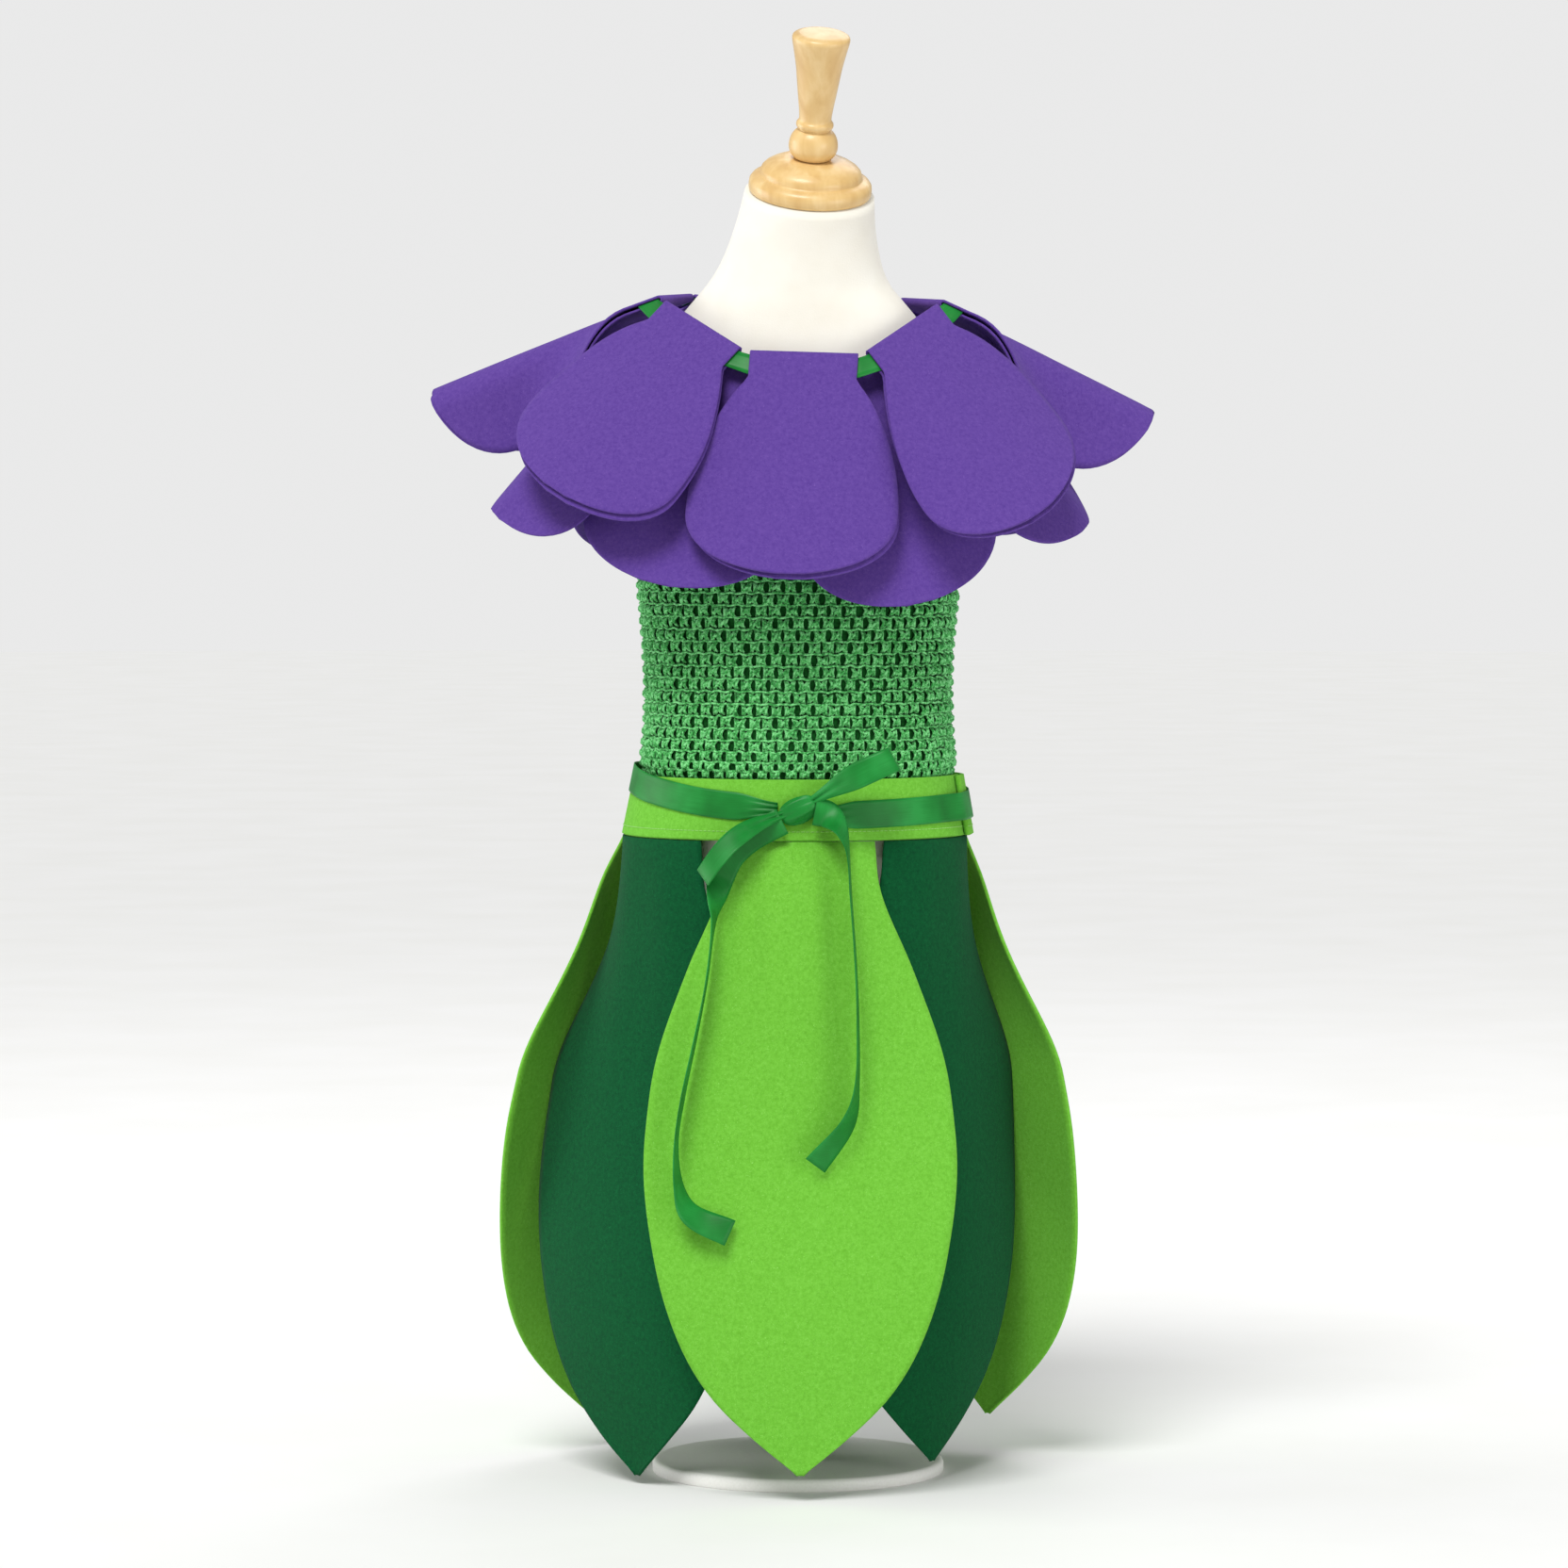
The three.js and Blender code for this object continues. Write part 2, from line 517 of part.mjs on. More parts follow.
// A folded petal runs up the inner leaf, round the fold over the ribbon, and down the outer leaf.
function foldedPetalPoint(frame, petal, across, along) {
  const signed = 2 * along - 1;
  const reach = Math.abs(signed);
  if (reach < FOLD_SHARE) {
    const angle = signed / FOLD_SHARE * Math.PI / 2;
    return petalPoint(frame, petal, across, 0, FOLD_GAP / 2 * Math.sin(angle))
      .addScaledVector(frame.hanging, -FOLD_GAP / 2 * Math.cos(angle));
  }
  const leafShare = (reach - FOLD_SHARE) / (1 - FOLD_SHARE);
  return petalPoint(frame, petal, across, leafShare, Math.sign(signed) * FOLD_GAP / 2);
}

const leafReaches = PETAL_ROWS.map((share) => FOLD_SHARE + share * (1 - FOLD_SHARE));
const foldedRows = [
  ...leafReaches.slice().reverse().map((reach) => -reach),
  0,
  ...leafReaches,
].map((signed) => (signed + 1) / 2);

for (const petal of UPPER_PETALS) {
  const frame = petalFrame(petal);
  const point = (across, along) => foldedPetalPoint(frame, petal, across, along);
  addPiece(petal.name, clothWall(point, PETAL_COLUMNS, foldedRows, FELT_COLLAR), PURPLE, 0.95);
}
for (const petal of LOWER_PETALS) {
  const frame = petalFrame(petal);
  const point = (across, along) => petalPoint(frame, petal, across, along, 0);
  addPiece(petal.name, clothWall(point, PETAL_COLUMNS, PETAL_ROWS, FELT_COLLAR), PURPLE, 0.95);
}

// Neck ribbon: a closed loop that runs straight inside each fold and turns in the gaps between petals.
const RIBBON_OVERRUN = 0.8;
const RIBBON_BELOW_FOLD = 0.2;
const NECK_RIBBON_WIDTH = 13.5;
const ribbonStations = [];
const petalsInOrder = UPPER_PETALS.slice().sort((first, second) => first.arc - second.arc);
for (const petal of petalsInOrder) {
  const frame = petalFrame(petal);
  for (const end of [-1, 1]) {
    const edge = frame.middle.clone()
      .addScaledVector(frame.sideways, end * (COLLAR_TOP_HALF + RIBBON_OVERRUN))
      .addScaledVector(frame.straight, RIBBON_BELOW_FOLD);
    ribbonStations.push({ edge, down: frame.straight });
  }
}

function neckRibbonPoint(across, along) {
  const count = ribbonStations.length;
  const place = (across % 1 + 1) % 1 * count;
  const index = Math.floor(place) % count;
  const share = place - Math.floor(place);
  const here = ribbonStations[index];
  const next = ribbonStations[(index + 1) % count];
  const start = here.edge.clone().addScaledVector(here.down, along * NECK_RIBBON_WIDTH);
  const end = next.edge.clone().addScaledVector(next.down, along * NECK_RIBBON_WIDTH);
  return start.lerp(end, share);
}

const neckRibbon = clothWall(neckRibbonPoint, ribbonStations.length, [0, 1], RIBBON_THICK, true);
addPiece('neck_ribbon', neckRibbon, SATIN_GREEN, 0.35);

// Belt ribbon: wound right round the waistband from one side of the knot to the other.
const KNOT = { x: 0, z: 414, halfWidth: 8.5, halfHeight: 7.5, halfDepth: 4.2 };
const BELT_HEIGHTS = [
  { at: 6, z: 409.5 },
  { at: 45, z: 411.5 },
  { at: 90, z: 414 },
  { at: 135, z: 419 },
  { at: 180, z: 423 },
  { at: 225, z: 427 },
  { at: 270, z: 430 },
  { at: 300, z: 424 },
  { at: 330, z: 417 },
  { at: 354, z: 414 },
];
const BELT_OFF = SEAM_GAP + RIBBON_THICK / 2;

function beltPoint(across, along) {
  const first = BELT_HEIGHTS[0].at;
  const last = BELT_HEIGHTS[BELT_HEIGHTS.length - 1].at;
  const degrees = blend(first, last, across);
  const z = readTable(BELT_HEIGHTS, 'z', degrees) + (along - 0.5) * RIBBON_WIDTH;
  const overLap = LAP_STEP * smoothStep(62, 74, degrees) * (1 - smoothStep(98, 116, degrees));
  return bandPoint(degrees * RADIAN, z, BELT_OFF + overLap);
}

addPiece('belt_ribbon', clothWall(beltPoint, 72, [0, 1], RIBBON_THICK), SATIN_GREEN, 0.35);

// Knot: a small rounded lump of wrapped ribbon, just clear of the belt's two ends.
const knotGeometry = new THREE.SphereGeometry(1, 14, 10).scale(KNOT.halfWidth, KNOT.halfDepth, KNOT.halfHeight);
const knot = addPiece('belt_knot', knotGeometry, SATIN_GREEN, 0.35);
const knotBack = bandPoint(0, KNOT.z, SEAM_GAP).y;
knot.position.set(KNOT.x, knotBack - KNOT.halfDepth - SEAM_GAP, KNOT.z);

// Bow loops: each leaves the knot, turns at its far end and comes back, the ribbon's face to the front.
const BOW_LOOPS = [
  { name: 'bow_loop_right', angle: 28, length: 58, depth: 13, forward: 0.08, start: { x: 9, z: 418 } },
  { name: 'bow_loop_left', angle: 216, length: 64, depth: 12, forward: 0.15, start: { x: -8, z: 412 } },
];

const LOOP_FULLNESS = 1.3;
const LOOP_WIDTH = 15.5;
const LOOP_ENDS = 0.04;

function bowLoopPoint(loop, across, along) {
  const angle = loop.angle * RADIAN;
  const reachAlong = new THREE.Vector3(Math.cos(angle), 0, Math.sin(angle));
  const widthAlong = new THREE.Vector3(-Math.sin(angle), 0, Math.cos(angle));
  const turn = across * Math.PI * 2;
  const reach = loop.length * (1 - Math.cos(turn)) / 2;
  const fullness = loop.depth / 2 * Math.sin(turn) * (1 - Math.cos(turn)) / LOOP_FULLNESS;
  const front = knot.position.y - KNOT.halfDepth - loop.depth / 2 - reach * loop.forward;
  return new THREE.Vector3(loop.start.x, front - fullness, loop.start.z)
    .addScaledVector(reachAlong, reach)
    .addScaledVector(widthAlong, (along - 0.5) * LOOP_WIDTH);
}

// Tails: each leaves the knot behind its loop, turns edge-on and ends free. Rows give the middle line,
// facing (0 edge-on to the front, 90 face-on) and the clearance to what hangs behind.
const TAILS = [
  {
    name: 'tail_left',
    rows: [
      { at: 0, x: -9.8, z: 407, facing: 84, clear: 0.8 },
      { at: 0.06, x: -27, z: 398, facing: 84, clear: 1.4 },
      { at: 0.12, x: -40, z: 387, facing: 84, clear: 2.6 },
      { at: 0.17, x: -46.5, z: 374, facing: 78, clear: 3 },
      { at: 0.21, x: -49, z: 362, facing: 45, clear: 3 },
      { at: 0.26, x: -50.8, z: 348, facing: 10, clear: 4 },
      { at: 0.36, x: -55, z: 313, facing: 4, clear: 4 },
      { at: 0.48, x: -61.4, z: 280, facing: 6, clear: 4 },
      { at: 0.61, x: -69.3, z: 243, facing: 8, clear: 4 },
      { at: 0.73, x: -73.2, z: 215, facing: 8, clear: 4 },
      { at: 0.83, x: -71.5, z: 190, facing: 20, clear: 4 },
      { at: 0.91, x: -64, z: 174, facing: 48, clear: 4 },
      { at: 1, x: -41, z: 163, facing: 75, clear: 4 },
    ],
  },
  {
    name: 'tail_right',
    rows: [
      { at: 0, x: 9.9, z: 413, facing: 84, clear: 0.8 },
      { at: 0.06, x: 18, z: 411, facing: 74, clear: 1 },
      { at: 0.12, x: 25, z: 404, facing: 34, clear: 2.5 },
      { at: 0.18, x: 29.4, z: 391, facing: 8, clear: 4 },
      { at: 0.3, x: 31.4, z: 364, facing: 4, clear: 4 },
      { at: 0.48, x: 34.2, z: 325, facing: 4, clear: 4 },
      { at: 0.62, x: 35.6, z: 290, facing: 5, clear: 4 },
      { at: 0.78, x: 35, z: 251, facing: 10, clear: 4 },
      { at: 0.9, x: 29, z: 227, facing: 35, clear: 4 },
      { at: 1, x: 10, z: 203, facing: 62, clear: 4 },
    ],
  },
];

function frontLeafDepth(x, z) {
  const front = LEAVES[0];
  const along = THREE.MathUtils.clamp((leafTopZ - z) / front.drop, 0, 0.97);
  const halfWidth = readTable(LEAF_OUTLINE, 'halfWidth', along);
  const across = THREE.MathUtils.clamp(0.5 + (x - front.arc) / (2 * halfWidth), 0, 1);
  return leafPoint(front, across, along).y;
}

function tailPoint(tail, across, along) {
  const x = readTable(tail.rows, 'x', along);
  const z = readTable(tail.rows, 'z', along);
  const facing = readTable(tail.rows, 'facing', along) * RADIAN;
  const clear = readTable(tail.rows, 'clear', along);
  const ahead = Math.min(along + 0.01, 1);
  const before = Math.max(along - 0.01, 0);
  const run = new THREE.Vector2(
    readTable(tail.rows, 'x', ahead) - readTable(tail.rows, 'x', before),
    readTable(tail.rows, 'z', ahead) - readTable(tail.rows, 'z', before),
  ).normalize();
  const behind = Math.min(frontLeafDepth(x, z), bandPoint(0, BAND_BOTTOM_Z, 0).y - 2);
  const middleY = behind - FELT_SKIRT / 2 - clear - RIBBON_WIDTH / 2 * Math.cos(facing);
  const sideShare = (across - 0.5) * RIBBON_WIDTH;
  return new THREE.Vector3(
    x - run.y * sideShare * Math.sin(facing),
    middleY + sideShare * Math.cos(facing),
    z + run.x * sideShare * Math.sin(facing),
  );
}

for (const loop of BOW_LOOPS) {
  const point = (across, along) => bowLoopPoint(loop, blend(LOOP_ENDS, 1 - LOOP_ENDS, across), along);
  addPiece(loop.name, clothWall(point, 20, [0, 1], RIBBON_THICK), SATIN_GREEN, 0.35);
}
for (const tail of TAILS) {
  const point = (across, along) => tailPoint(tail, across, along);
  addPiece(tail.name, clothWall(point, 1, evenRows(26), RIBBON_THICK), SATIN_GREEN, 0.35);
}

export default costume;
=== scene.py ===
import math

import bmesh
import bpy
import numpy as np
from mathutils import Matrix, Vector


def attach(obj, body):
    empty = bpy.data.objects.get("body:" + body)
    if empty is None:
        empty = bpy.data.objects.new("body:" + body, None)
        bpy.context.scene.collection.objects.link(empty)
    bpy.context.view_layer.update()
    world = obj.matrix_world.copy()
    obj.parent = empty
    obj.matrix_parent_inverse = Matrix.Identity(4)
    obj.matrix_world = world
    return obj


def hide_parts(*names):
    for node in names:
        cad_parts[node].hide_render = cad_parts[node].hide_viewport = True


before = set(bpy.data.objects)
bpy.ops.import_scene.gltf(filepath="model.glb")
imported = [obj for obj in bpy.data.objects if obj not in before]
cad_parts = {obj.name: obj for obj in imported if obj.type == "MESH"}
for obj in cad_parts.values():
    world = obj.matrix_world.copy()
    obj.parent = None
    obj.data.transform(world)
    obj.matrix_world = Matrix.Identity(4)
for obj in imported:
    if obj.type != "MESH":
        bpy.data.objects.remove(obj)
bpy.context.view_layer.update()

scene = bpy.context.scene

# Camera: a long lens on a full-frame sensor, four metres off and tilted down a little, so that it sees
# hardly any perspective.
CAMERA_LENS = 149.2
SENSOR_WIDTH = 36
SEES_AS_FAR_AS = 60
CAMERA_PLACE = (-0.0087, -3.99452, 0.63434)
CAMERA_TILT = math.radians(87)
camera_data = bpy.data.cameras.new("camera")
camera_data.lens = CAMERA_LENS
camera_data.sensor_width = SENSOR_WIDTH
camera_data.clip_end = SEES_AS_FAR_AS
camera = bpy.data.objects.new("camera", camera_data)
camera.location = CAMERA_PLACE
camera.rotation_euler = (CAMERA_TILT, 0, 0)
scene.collection.objects.link(camera)
scene.camera = camera
scene.view_settings.view_transform = "Standard"


# Floor: one wide, flat sheet of studio paper that runs on far behind the costume. Sizes here and below
# are in millimetres, and MM turns them to metres. Only the lights' places and the cloth's cuts are in
# metres as they stand.
MM = 0.001
ROUND_SIDES = 96


def linear(hex_colour):
    """An sRGB hex colour as the linear values that a shader reads."""
    channels = [int(hex_colour[i:i + 2], 16) / 255 for i in (1, 3, 5)]
    bent = [c / 12.92 if c <= 0.04045 else ((c + 0.055) / 1.055) ** 2.4 for c in channels]
    return (*bent, 1.0)


def add_node(tree, kind, settings=None, links=None):
    node = tree.nodes.new(kind)
    for key, value in (settings or {}).items():
        if isinstance(key, str) and hasattr(node, key):
            setattr(node, key, value)
        else:
            node.inputs[key].default_value = value
    for key, (source, output) in (links or {}).items():
        tree.links.new(source.outputs[output], node.inputs[key])
    return node


def new_material(name, settings):
    material = bpy.data.materials.new(name)
    material.use_nodes = True
    tree = material.node_tree
    shader = tree.nodes["Principled BSDF"]
    for key, value in settings.items():
        shader.inputs[key].default_value = value
    return material, tree, shader


def set_ramp(node, stops):
    ramp = node.color_ramp
    while len(ramp.elements) < len(stops):
        ramp.elements.new(0.5)
    for element, (position, colour) in zip(ramp.elements, stops):
        element.position = position
        element.color = linear(colour)
    return node


def marks(size):
    """The scale of a pattern whose marks are this many millimetres wide."""
    return 1 / (size * MM)


def mesh_object(name, points, faces, material, smooth=True):
    mesh = bpy.data.meshes.new(name)
    mesh.from_pydata([tuple(p) for p in np.asarray(points) * MM], [], [tuple(f) for f in faces])
    mesh.materials.append(material)
    if smooth:
        mesh.shade_smooth()
    piece = bpy.data.objects.new(name, mesh)
    scene.collection.objects.link(piece)
    return piece


def face_outwards(piece):
    shape = bmesh.new()
    shape.from_mesh(piece.data)
    bmesh.ops.recalc_face_normals(shape, faces=shape.faces)
    shape.to_mesh(piece.data)
    shape.free()


# Studio paper: pressed pulp without a coat, so it is quite matt, with the faintest cloud in its tone.
paper, paper_tree, paper_shader = new_material(
    "matt_backdrop_paper", {"Roughness": 0.95, "Specular IOR Level": 0.1})
paper_coords = add_node(paper_tree, "ShaderNodeTexCoord")
paper_cloud = add_node(paper_tree, "ShaderNodeTexNoise", {"Scale": marks(167), "Detail": 4.0},
                       {"Vector": (paper_coords, "Object")})
paper_tone = set_ramp(add_node(paper_tree, "ShaderNodeValToRGB", None, {"Fac": (paper_cloud, "Fac")}),
                      [(0.3, "#ECECEA"), (0.7, "#EFEFEE")])
paper_tree.links.new(paper_tone.outputs["Color"], paper_shader.inputs["Base Color"])
FLOOR_RADIUS = 16000
rim = [(FLOOR_RADIUS * math.cos(a), FLOOR_RADIUS * math.sin(a), 0)
       for a in np.linspace(0, 2 * math.pi, ROUND_SIDES, endpoint=False)]
floor = mesh_object("floor", rim, [tuple(range(len(rim)))], paper, smooth=False)

# Studio light: a very broad soft key from high at the front left, weak soft boxes at the left, behind and
# at the front right, and even light all round. The air beyond the floor's far edge is as pale as the floor.
KEY_STRENGTH = 2.3
KEY_BREADTH = math.radians(26)
KEY_DIRECTION = Vector((0.6, 1.9, -2.6))
AIMED_AT = Vector((0, 0, 0.45))
AIR_LIGHT = 0.4
AIR_SEEN = 0.82
key_data = bpy.data.lights.new("key_light", "SUN")
key_data.energy = KEY_STRENGTH
key_data.angle = KEY_BREADTH
key_light = bpy.data.objects.new("key_light", key_data)
key_light.rotation_euler = KEY_DIRECTION.to_track_quat("-Z", "Y").to_euler()
scene.collection.objects.link(key_light)
# name, place in metres, side in metres, watts
SOFT_BOXES = [
    ("left_soft_box", (-2.7, 0.4, 0.9), 1.5, 28),
    ("back_soft_box", (0.6, 1.9, 2.6), 1.6, 16),
    ("right_soft_box", (2.3, -1.9, 0.6), 1.4, 20),
]
for light_name, place, side, power in SOFT_BOXES:
    light_data = bpy.data.lights.new(light_name, "AREA")
    light_data.size = side
    light_data.energy = power
    light = bpy.data.objects.new(light_name, light_data)
    light.location = place
    light.rotation_euler = (AIMED_AT - Vector(place)).to_track_quat("-Z", "Y").to_euler()
    scene.collection.objects.link(light)
world = bpy.data.worlds.new("studio_air")
world.use_nodes = True
air_tree = world.node_tree
air_tree.nodes["Background"].inputs["Color"].default_value = (1, 1, 1, 1)
air_tree.nodes["Background"].inputs["Strength"].default_value = AIR_LIGHT
pale_air = add_node(air_tree, "ShaderNodeBackground", {"Color": (1, 1, 1, 1), "Strength": AIR_SEEN})
ray = add_node(air_tree, "ShaderNodeLightPath")
air = add_node(air_tree, "ShaderNodeMixShader", None, {
    0: (ray, "Is Camera Ray"), 1: (air_tree.nodes["Background"], "Background"), 2: (pale_air, "Background")})
air_tree.links.new(air.outputs["Shader"], air_tree.nodes["World Output"].inputs["Surface"])
scene.world = world


# Dress form: a padded shell with a neck, covered in close cream-white jersey that is pulled smooth.
# It is closed underneath and ends at a tilted top that carries the wooden cap.
def read_rows(rows, column, at):
    """A column's value on the smooth curve through a table's rows."""
    at = np.asarray(at, dtype=float)
    places = np.array([row["at"] for row in rows], dtype=float)
    values = np.array([row[column] for row in rows], dtype=float)
    left = np.clip(np.searchsorted(places, at, side="left") - 1, 0, len(rows) - 2)
    right = left + 1
    before = np.maximum(left - 1, 0)
    after = np.minimum(left + 2, len(rows) - 1)
    span = places[right] - places[left]
    share = np.clip((at - places[left]) / span, 0, 1)
    slope_left = (values[right] - values[before]) / (places[right] - places[before]) * span
    slope_right = (values[after] - values[left]) / (places[after] - places[left]) * span
    cube, square = share ** 3, share ** 2
    return ((2 * cube - 3 * square + 1) * values[left] + (cube - 2 * square + share) * slope_left
            + (3 * square - 2 * cube) * values[right] + (cube - square) * slope_right)


def table(columns, rows):
    """Rows with named columns. The column named at says where on its curve each row is."""
    names = columns.split()
    return [dict(zip(names, row)) for row in rows]


def closed_loft(name, rings, material):
    """A closed solid through rings of points, with a fan over each end."""
    rings = np.asarray(rings)
    ring_count, sides, _ = rings.shape
    points = list(rings.reshape(-1, 3))
    faces = []
    for r in range(ring_count - 1):
        for s in range(sides):
            t = (s + 1) % sides
            faces.append((r * sides + s, r * sides + t, (r + 1) * sides + t, (r + 1) * sides + s))
    for ring, first in ((rings[0], 0), (rings[-1], (ring_count - 1) * sides)):
        points.append(ring.mean(axis=0))
        faces += [(first + s, first + (s + 1) % sides, len(points) - 1) for s in range(sides)]
    piece = mesh_object(name, points, faces, material)
    face_outwards(piece)
    return piece


# Jersey: fine cotton knit, matt and soft to the light. Its stitches of about 0.9 mm are a faint grain.
jersey, jersey_tree, jersey_shader = new_material(
    "cream_jersey_cover", {"Roughness": 0.78, "Specular IOR Level": 0.3, "Sheen Weight": 0.25})
jersey_coords = add_node(jersey_tree, "ShaderNodeTexCoord")
jersey_cloud = add_node(jersey_tree, "ShaderNodeTexNoise", {"Scale": marks(40), "Detail": 4.0},
                        {"Vector": (jersey_coords, "Object")})
jersey_tone = set_ramp(add_node(jersey_tree, "ShaderNodeValToRGB", None, {"Fac": (jersey_cloud, "Fac")}),
                       [(0.3, "#EDE8DA"), (0.7, "#F4F1E6")])
jersey_knit = add_node(jersey_tree, "ShaderNodeTexVoronoi", {"Scale": marks(0.91)},
                       {"Vector": (jersey_coords, "Object")})
jersey_bump = add_node(jersey_tree, "ShaderNodeBump", {"Strength": 0.12, "Distance": 0.0004},
                       {"Height": (jersey_knit, "Distance")})
jersey_tree.links.new(jersey_tone.outputs["Color"], jersey_shader.inputs["Base Color"])
jersey_tree.links.new(jersey_bump.outputs["Normal"], jersey_shader.inputs["Normal"])

NECK_TOP = {"x": 7, "y": -9, "z": 787, "tilt": 20, "roll": 4}
FORM_FOOT = 262
FORM_EDGE_TOP = 282
# height, shift of the ring's middle, its half sizes, and how far it tilts forward and sideways in degrees
FORM_ROWS = table("at x y half_width half_depth tilt roll", [
    (262, 0, 0, 76, 58, 0, 0),
    (265, 0, 0, 84, 65, 0, 0),
    (282, 0, 0, 91, 71, 0, 0),
    (322, 0, 0, 97, 76, 0, 0),
    (362, 0, 0, 96, 74, 0, 0),
    (398, 0, 0, 91.3, 69.4, 0, 0),
    (436, 0, 0, 91, 68.8, 0, 0),
    (478, 0, 0, 90.5, 67.5, 0, 0),
    (515, 0, 0, 91.3, 69, 0, 0),
    (547, 0, 0, 94.2, 71.5, 0, 0),
    (596, 0, 0, 95.5, 73, 0, 0),
    (632, 0, 2, 101, 67, 0, 0),
    (656, 0, 4, 99, 58, 0, 0),
    (672, 0, 5, 94, 51, 0, 0),
    (686, 0, 5, 87, 46, 0, 0),
    (699, 0, 5, 80, 43.5, 0, 0),
    (711, 0, 5, 73, 41.8, 2, 0),
    (722, 0, 4, 64, 40.8, 5, 0),
    (733, 1, 3, 55, 40.4, 9, 1),
    (746, 2.5, 0.5, 48.6, 40, 13, 2),
    (766, 4.6, -3.5, 43, 39.5, 17, 3),
    (787, 7, -9, 39.6, 39, 20, 4),
])


def tilted_place(x, y, z, tilt, roll):
    turn = Matrix.Rotation(math.radians(tilt), 4, "X") @ Matrix.Rotation(math.radians(roll), 4, "Y")
    return Matrix.Translation((x, y, z)) @ turn


form_heights = np.concatenate([np.linspace(FORM_FOOT, FORM_EDGE_TOP, 9)[:-1],
                               np.linspace(FORM_EDGE_TOP, NECK_TOP["z"], 90)])
form_rings = []
for height in form_heights:
    values = {key: float(read_rows(FORM_ROWS, key, height)) for key in FORM_ROWS[0] if key != "at"}
    place = tilted_place(values["x"], values["y"], height, values["tilt"], values["roll"])
    half_width, half_depth = values["half_width"], values["half_depth"]
    form_rings.append([place @ Vector((half_width * math.cos(a), half_depth * math.sin(a), 0))
                       for a in np.linspace(0, 2 * math.pi, ROUND_SIDES, endpoint=False)])
dress_form = closed_loft("dress_form_cover", form_rings, jersey)
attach(dress_form, "root")
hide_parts("torso")


# Neck cap and finial: two pieces turned on a lathe from pale beech. The cap closes the tilted top of the
# neck, and the finial stands on it as a handle.
SEAM_GAP = 0.3
CAP_HEIGHT = 22.3

# Beech under clear varnish: pale bands run up the wood, and the coat gives turned edges a line of light.
beech, beech_tree, beech_shader = new_material(
    "varnished_beech", {"Roughness": 0.42, "Coat Weight": 0.35, "Coat Roughness": 0.22, "IOR": 1.5})
beech_coords = add_node(beech_tree, "ShaderNodeTexCoord")
beech_stretch = add_node(beech_tree, "ShaderNodeMapping", {"Scale": (1.0, 1.0, 0.12)},
                         {"Vector": (beech_coords, "Object")})
beech_bands = add_node(beech_tree, "ShaderNodeTexNoise",
                       {"Scale": marks(8.33), "Detail": 4.0, "Distortion": 0.3},
                       {"Vector": (beech_stretch, "Vector")})
beech_flecks = add_node(beech_tree, "ShaderNodeTexNoise", {"Scale": marks(1.11), "Detail": 2.0},
                        {"Vector": (beech_stretch, "Vector")})
beech_tone = set_ramp(add_node(beech_tree, "ShaderNodeValToRGB", None, {"Fac": (beech_bands, "Fac")}),
                      [(0.3, "#D6AE6C"), (0.5, "#E0BC7C"), (0.72, "#E9CA90")])
beech_bump = add_node(beech_tree, "ShaderNodeBump", {"Strength": 0.08, "Distance": 0.0003},
                      {"Height": (beech_flecks, "Fac")})
beech_tree.links.new(beech_tone.outputs["Color"], beech_shader.inputs["Base Color"])
beech_tree.links.new(beech_bump.outputs["Normal"], beech_shader.inputs["Normal"])


def turned_piece(name, profile, place, material):
    """A lathe-turned solid from a profile of radius and height that starts and ends on its axis."""
    profile = np.asarray(profile, dtype=float)
    rings = []
    for radius, height in profile[1:-1]:
        rings.append([place @ Vector((radius * math.cos(a), radius * math.sin(a), height))
                      for a in np.linspace(0, 2 * math.pi, ROUND_SIDES, endpoint=False)])
    return closed_loft(name, rings, material)


def rounded_profile(rows, steps):
    """The same profile as a smooth curve, with so many steps from row to row."""
    rows = np.asarray(rows, dtype=float)
    walked = np.concatenate([[0], np.cumsum(np.hypot(*np.diff(rows, axis=0).T))])
    knots = table("at radius height", [(w, r, h) for w, (r, h) in zip(walked, rows)])
    at = np.concatenate([np.linspace(a, b, steps, endpoint=False) for a, b in zip(walked[:-1], walked[1:])])
    at = np.append(at, walked[-1])
    return np.stack([read_rows(knots, "radius", at), read_rows(knots, "height", at)], axis=1)


neck_place = tilted_place(*(NECK_TOP[key] for key in ("x", "y", "z", "tilt", "roll")))
# radius and height of each turned edge
cap_profile = [(0, SEAM_GAP), (35.5, SEAM_GAP), (36.8, 0.7), (37.6, 2), (37.7, 4.6), (37.4, 7.2), (36, 9.2),
               (33.6, 10.4), (32, 10.9), (31.2, 11.5), (31.1, 12.2), (31.1, 13.6), (30.4, 15.4), (28.5, 17.4),
               (25.6, 19.2), (22, 20.8), (18.6, 21.8), (15.5, CAP_HEIGHT), (0, CAP_HEIGHT)]
finial_profile = [(0, 0), (10.5, 0), (12.4, 1.4), (13.9, 3.4), (14.9, 6.2), (15, 9), (14.5, 12), (13.2, 15),
                  (11.4, 17.2), (9.8, 18.4), (9.6, 18.9), (10.8, 19.6), (11.4, 21), (11.2, 22.8),
                  (10.1, 24.2), (9.9, 26), (10.4, 31), (11.4, 38), (12.8, 48), (14.2, 58), (16.2, 68),
                  (17.4, 73.4), (17.7, 75.6), (17.3, 77.2), (15.6, 78.4), (12.6, 79.1), (0, 79.6)]
neck_cap = turned_piece("beech_neck_cap", cap_profile, neck_place, beech)
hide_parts("neck_cap")
finial = turned_piece("beech_finial", rounded_profile(finial_profile, 3),
                      neck_place @ Matrix.Translation((0, 0, CAP_HEIGHT + SEAM_GAP)), beech)
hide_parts("finial")
for turned in (neck_cap, finial):
    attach(turned, "root")

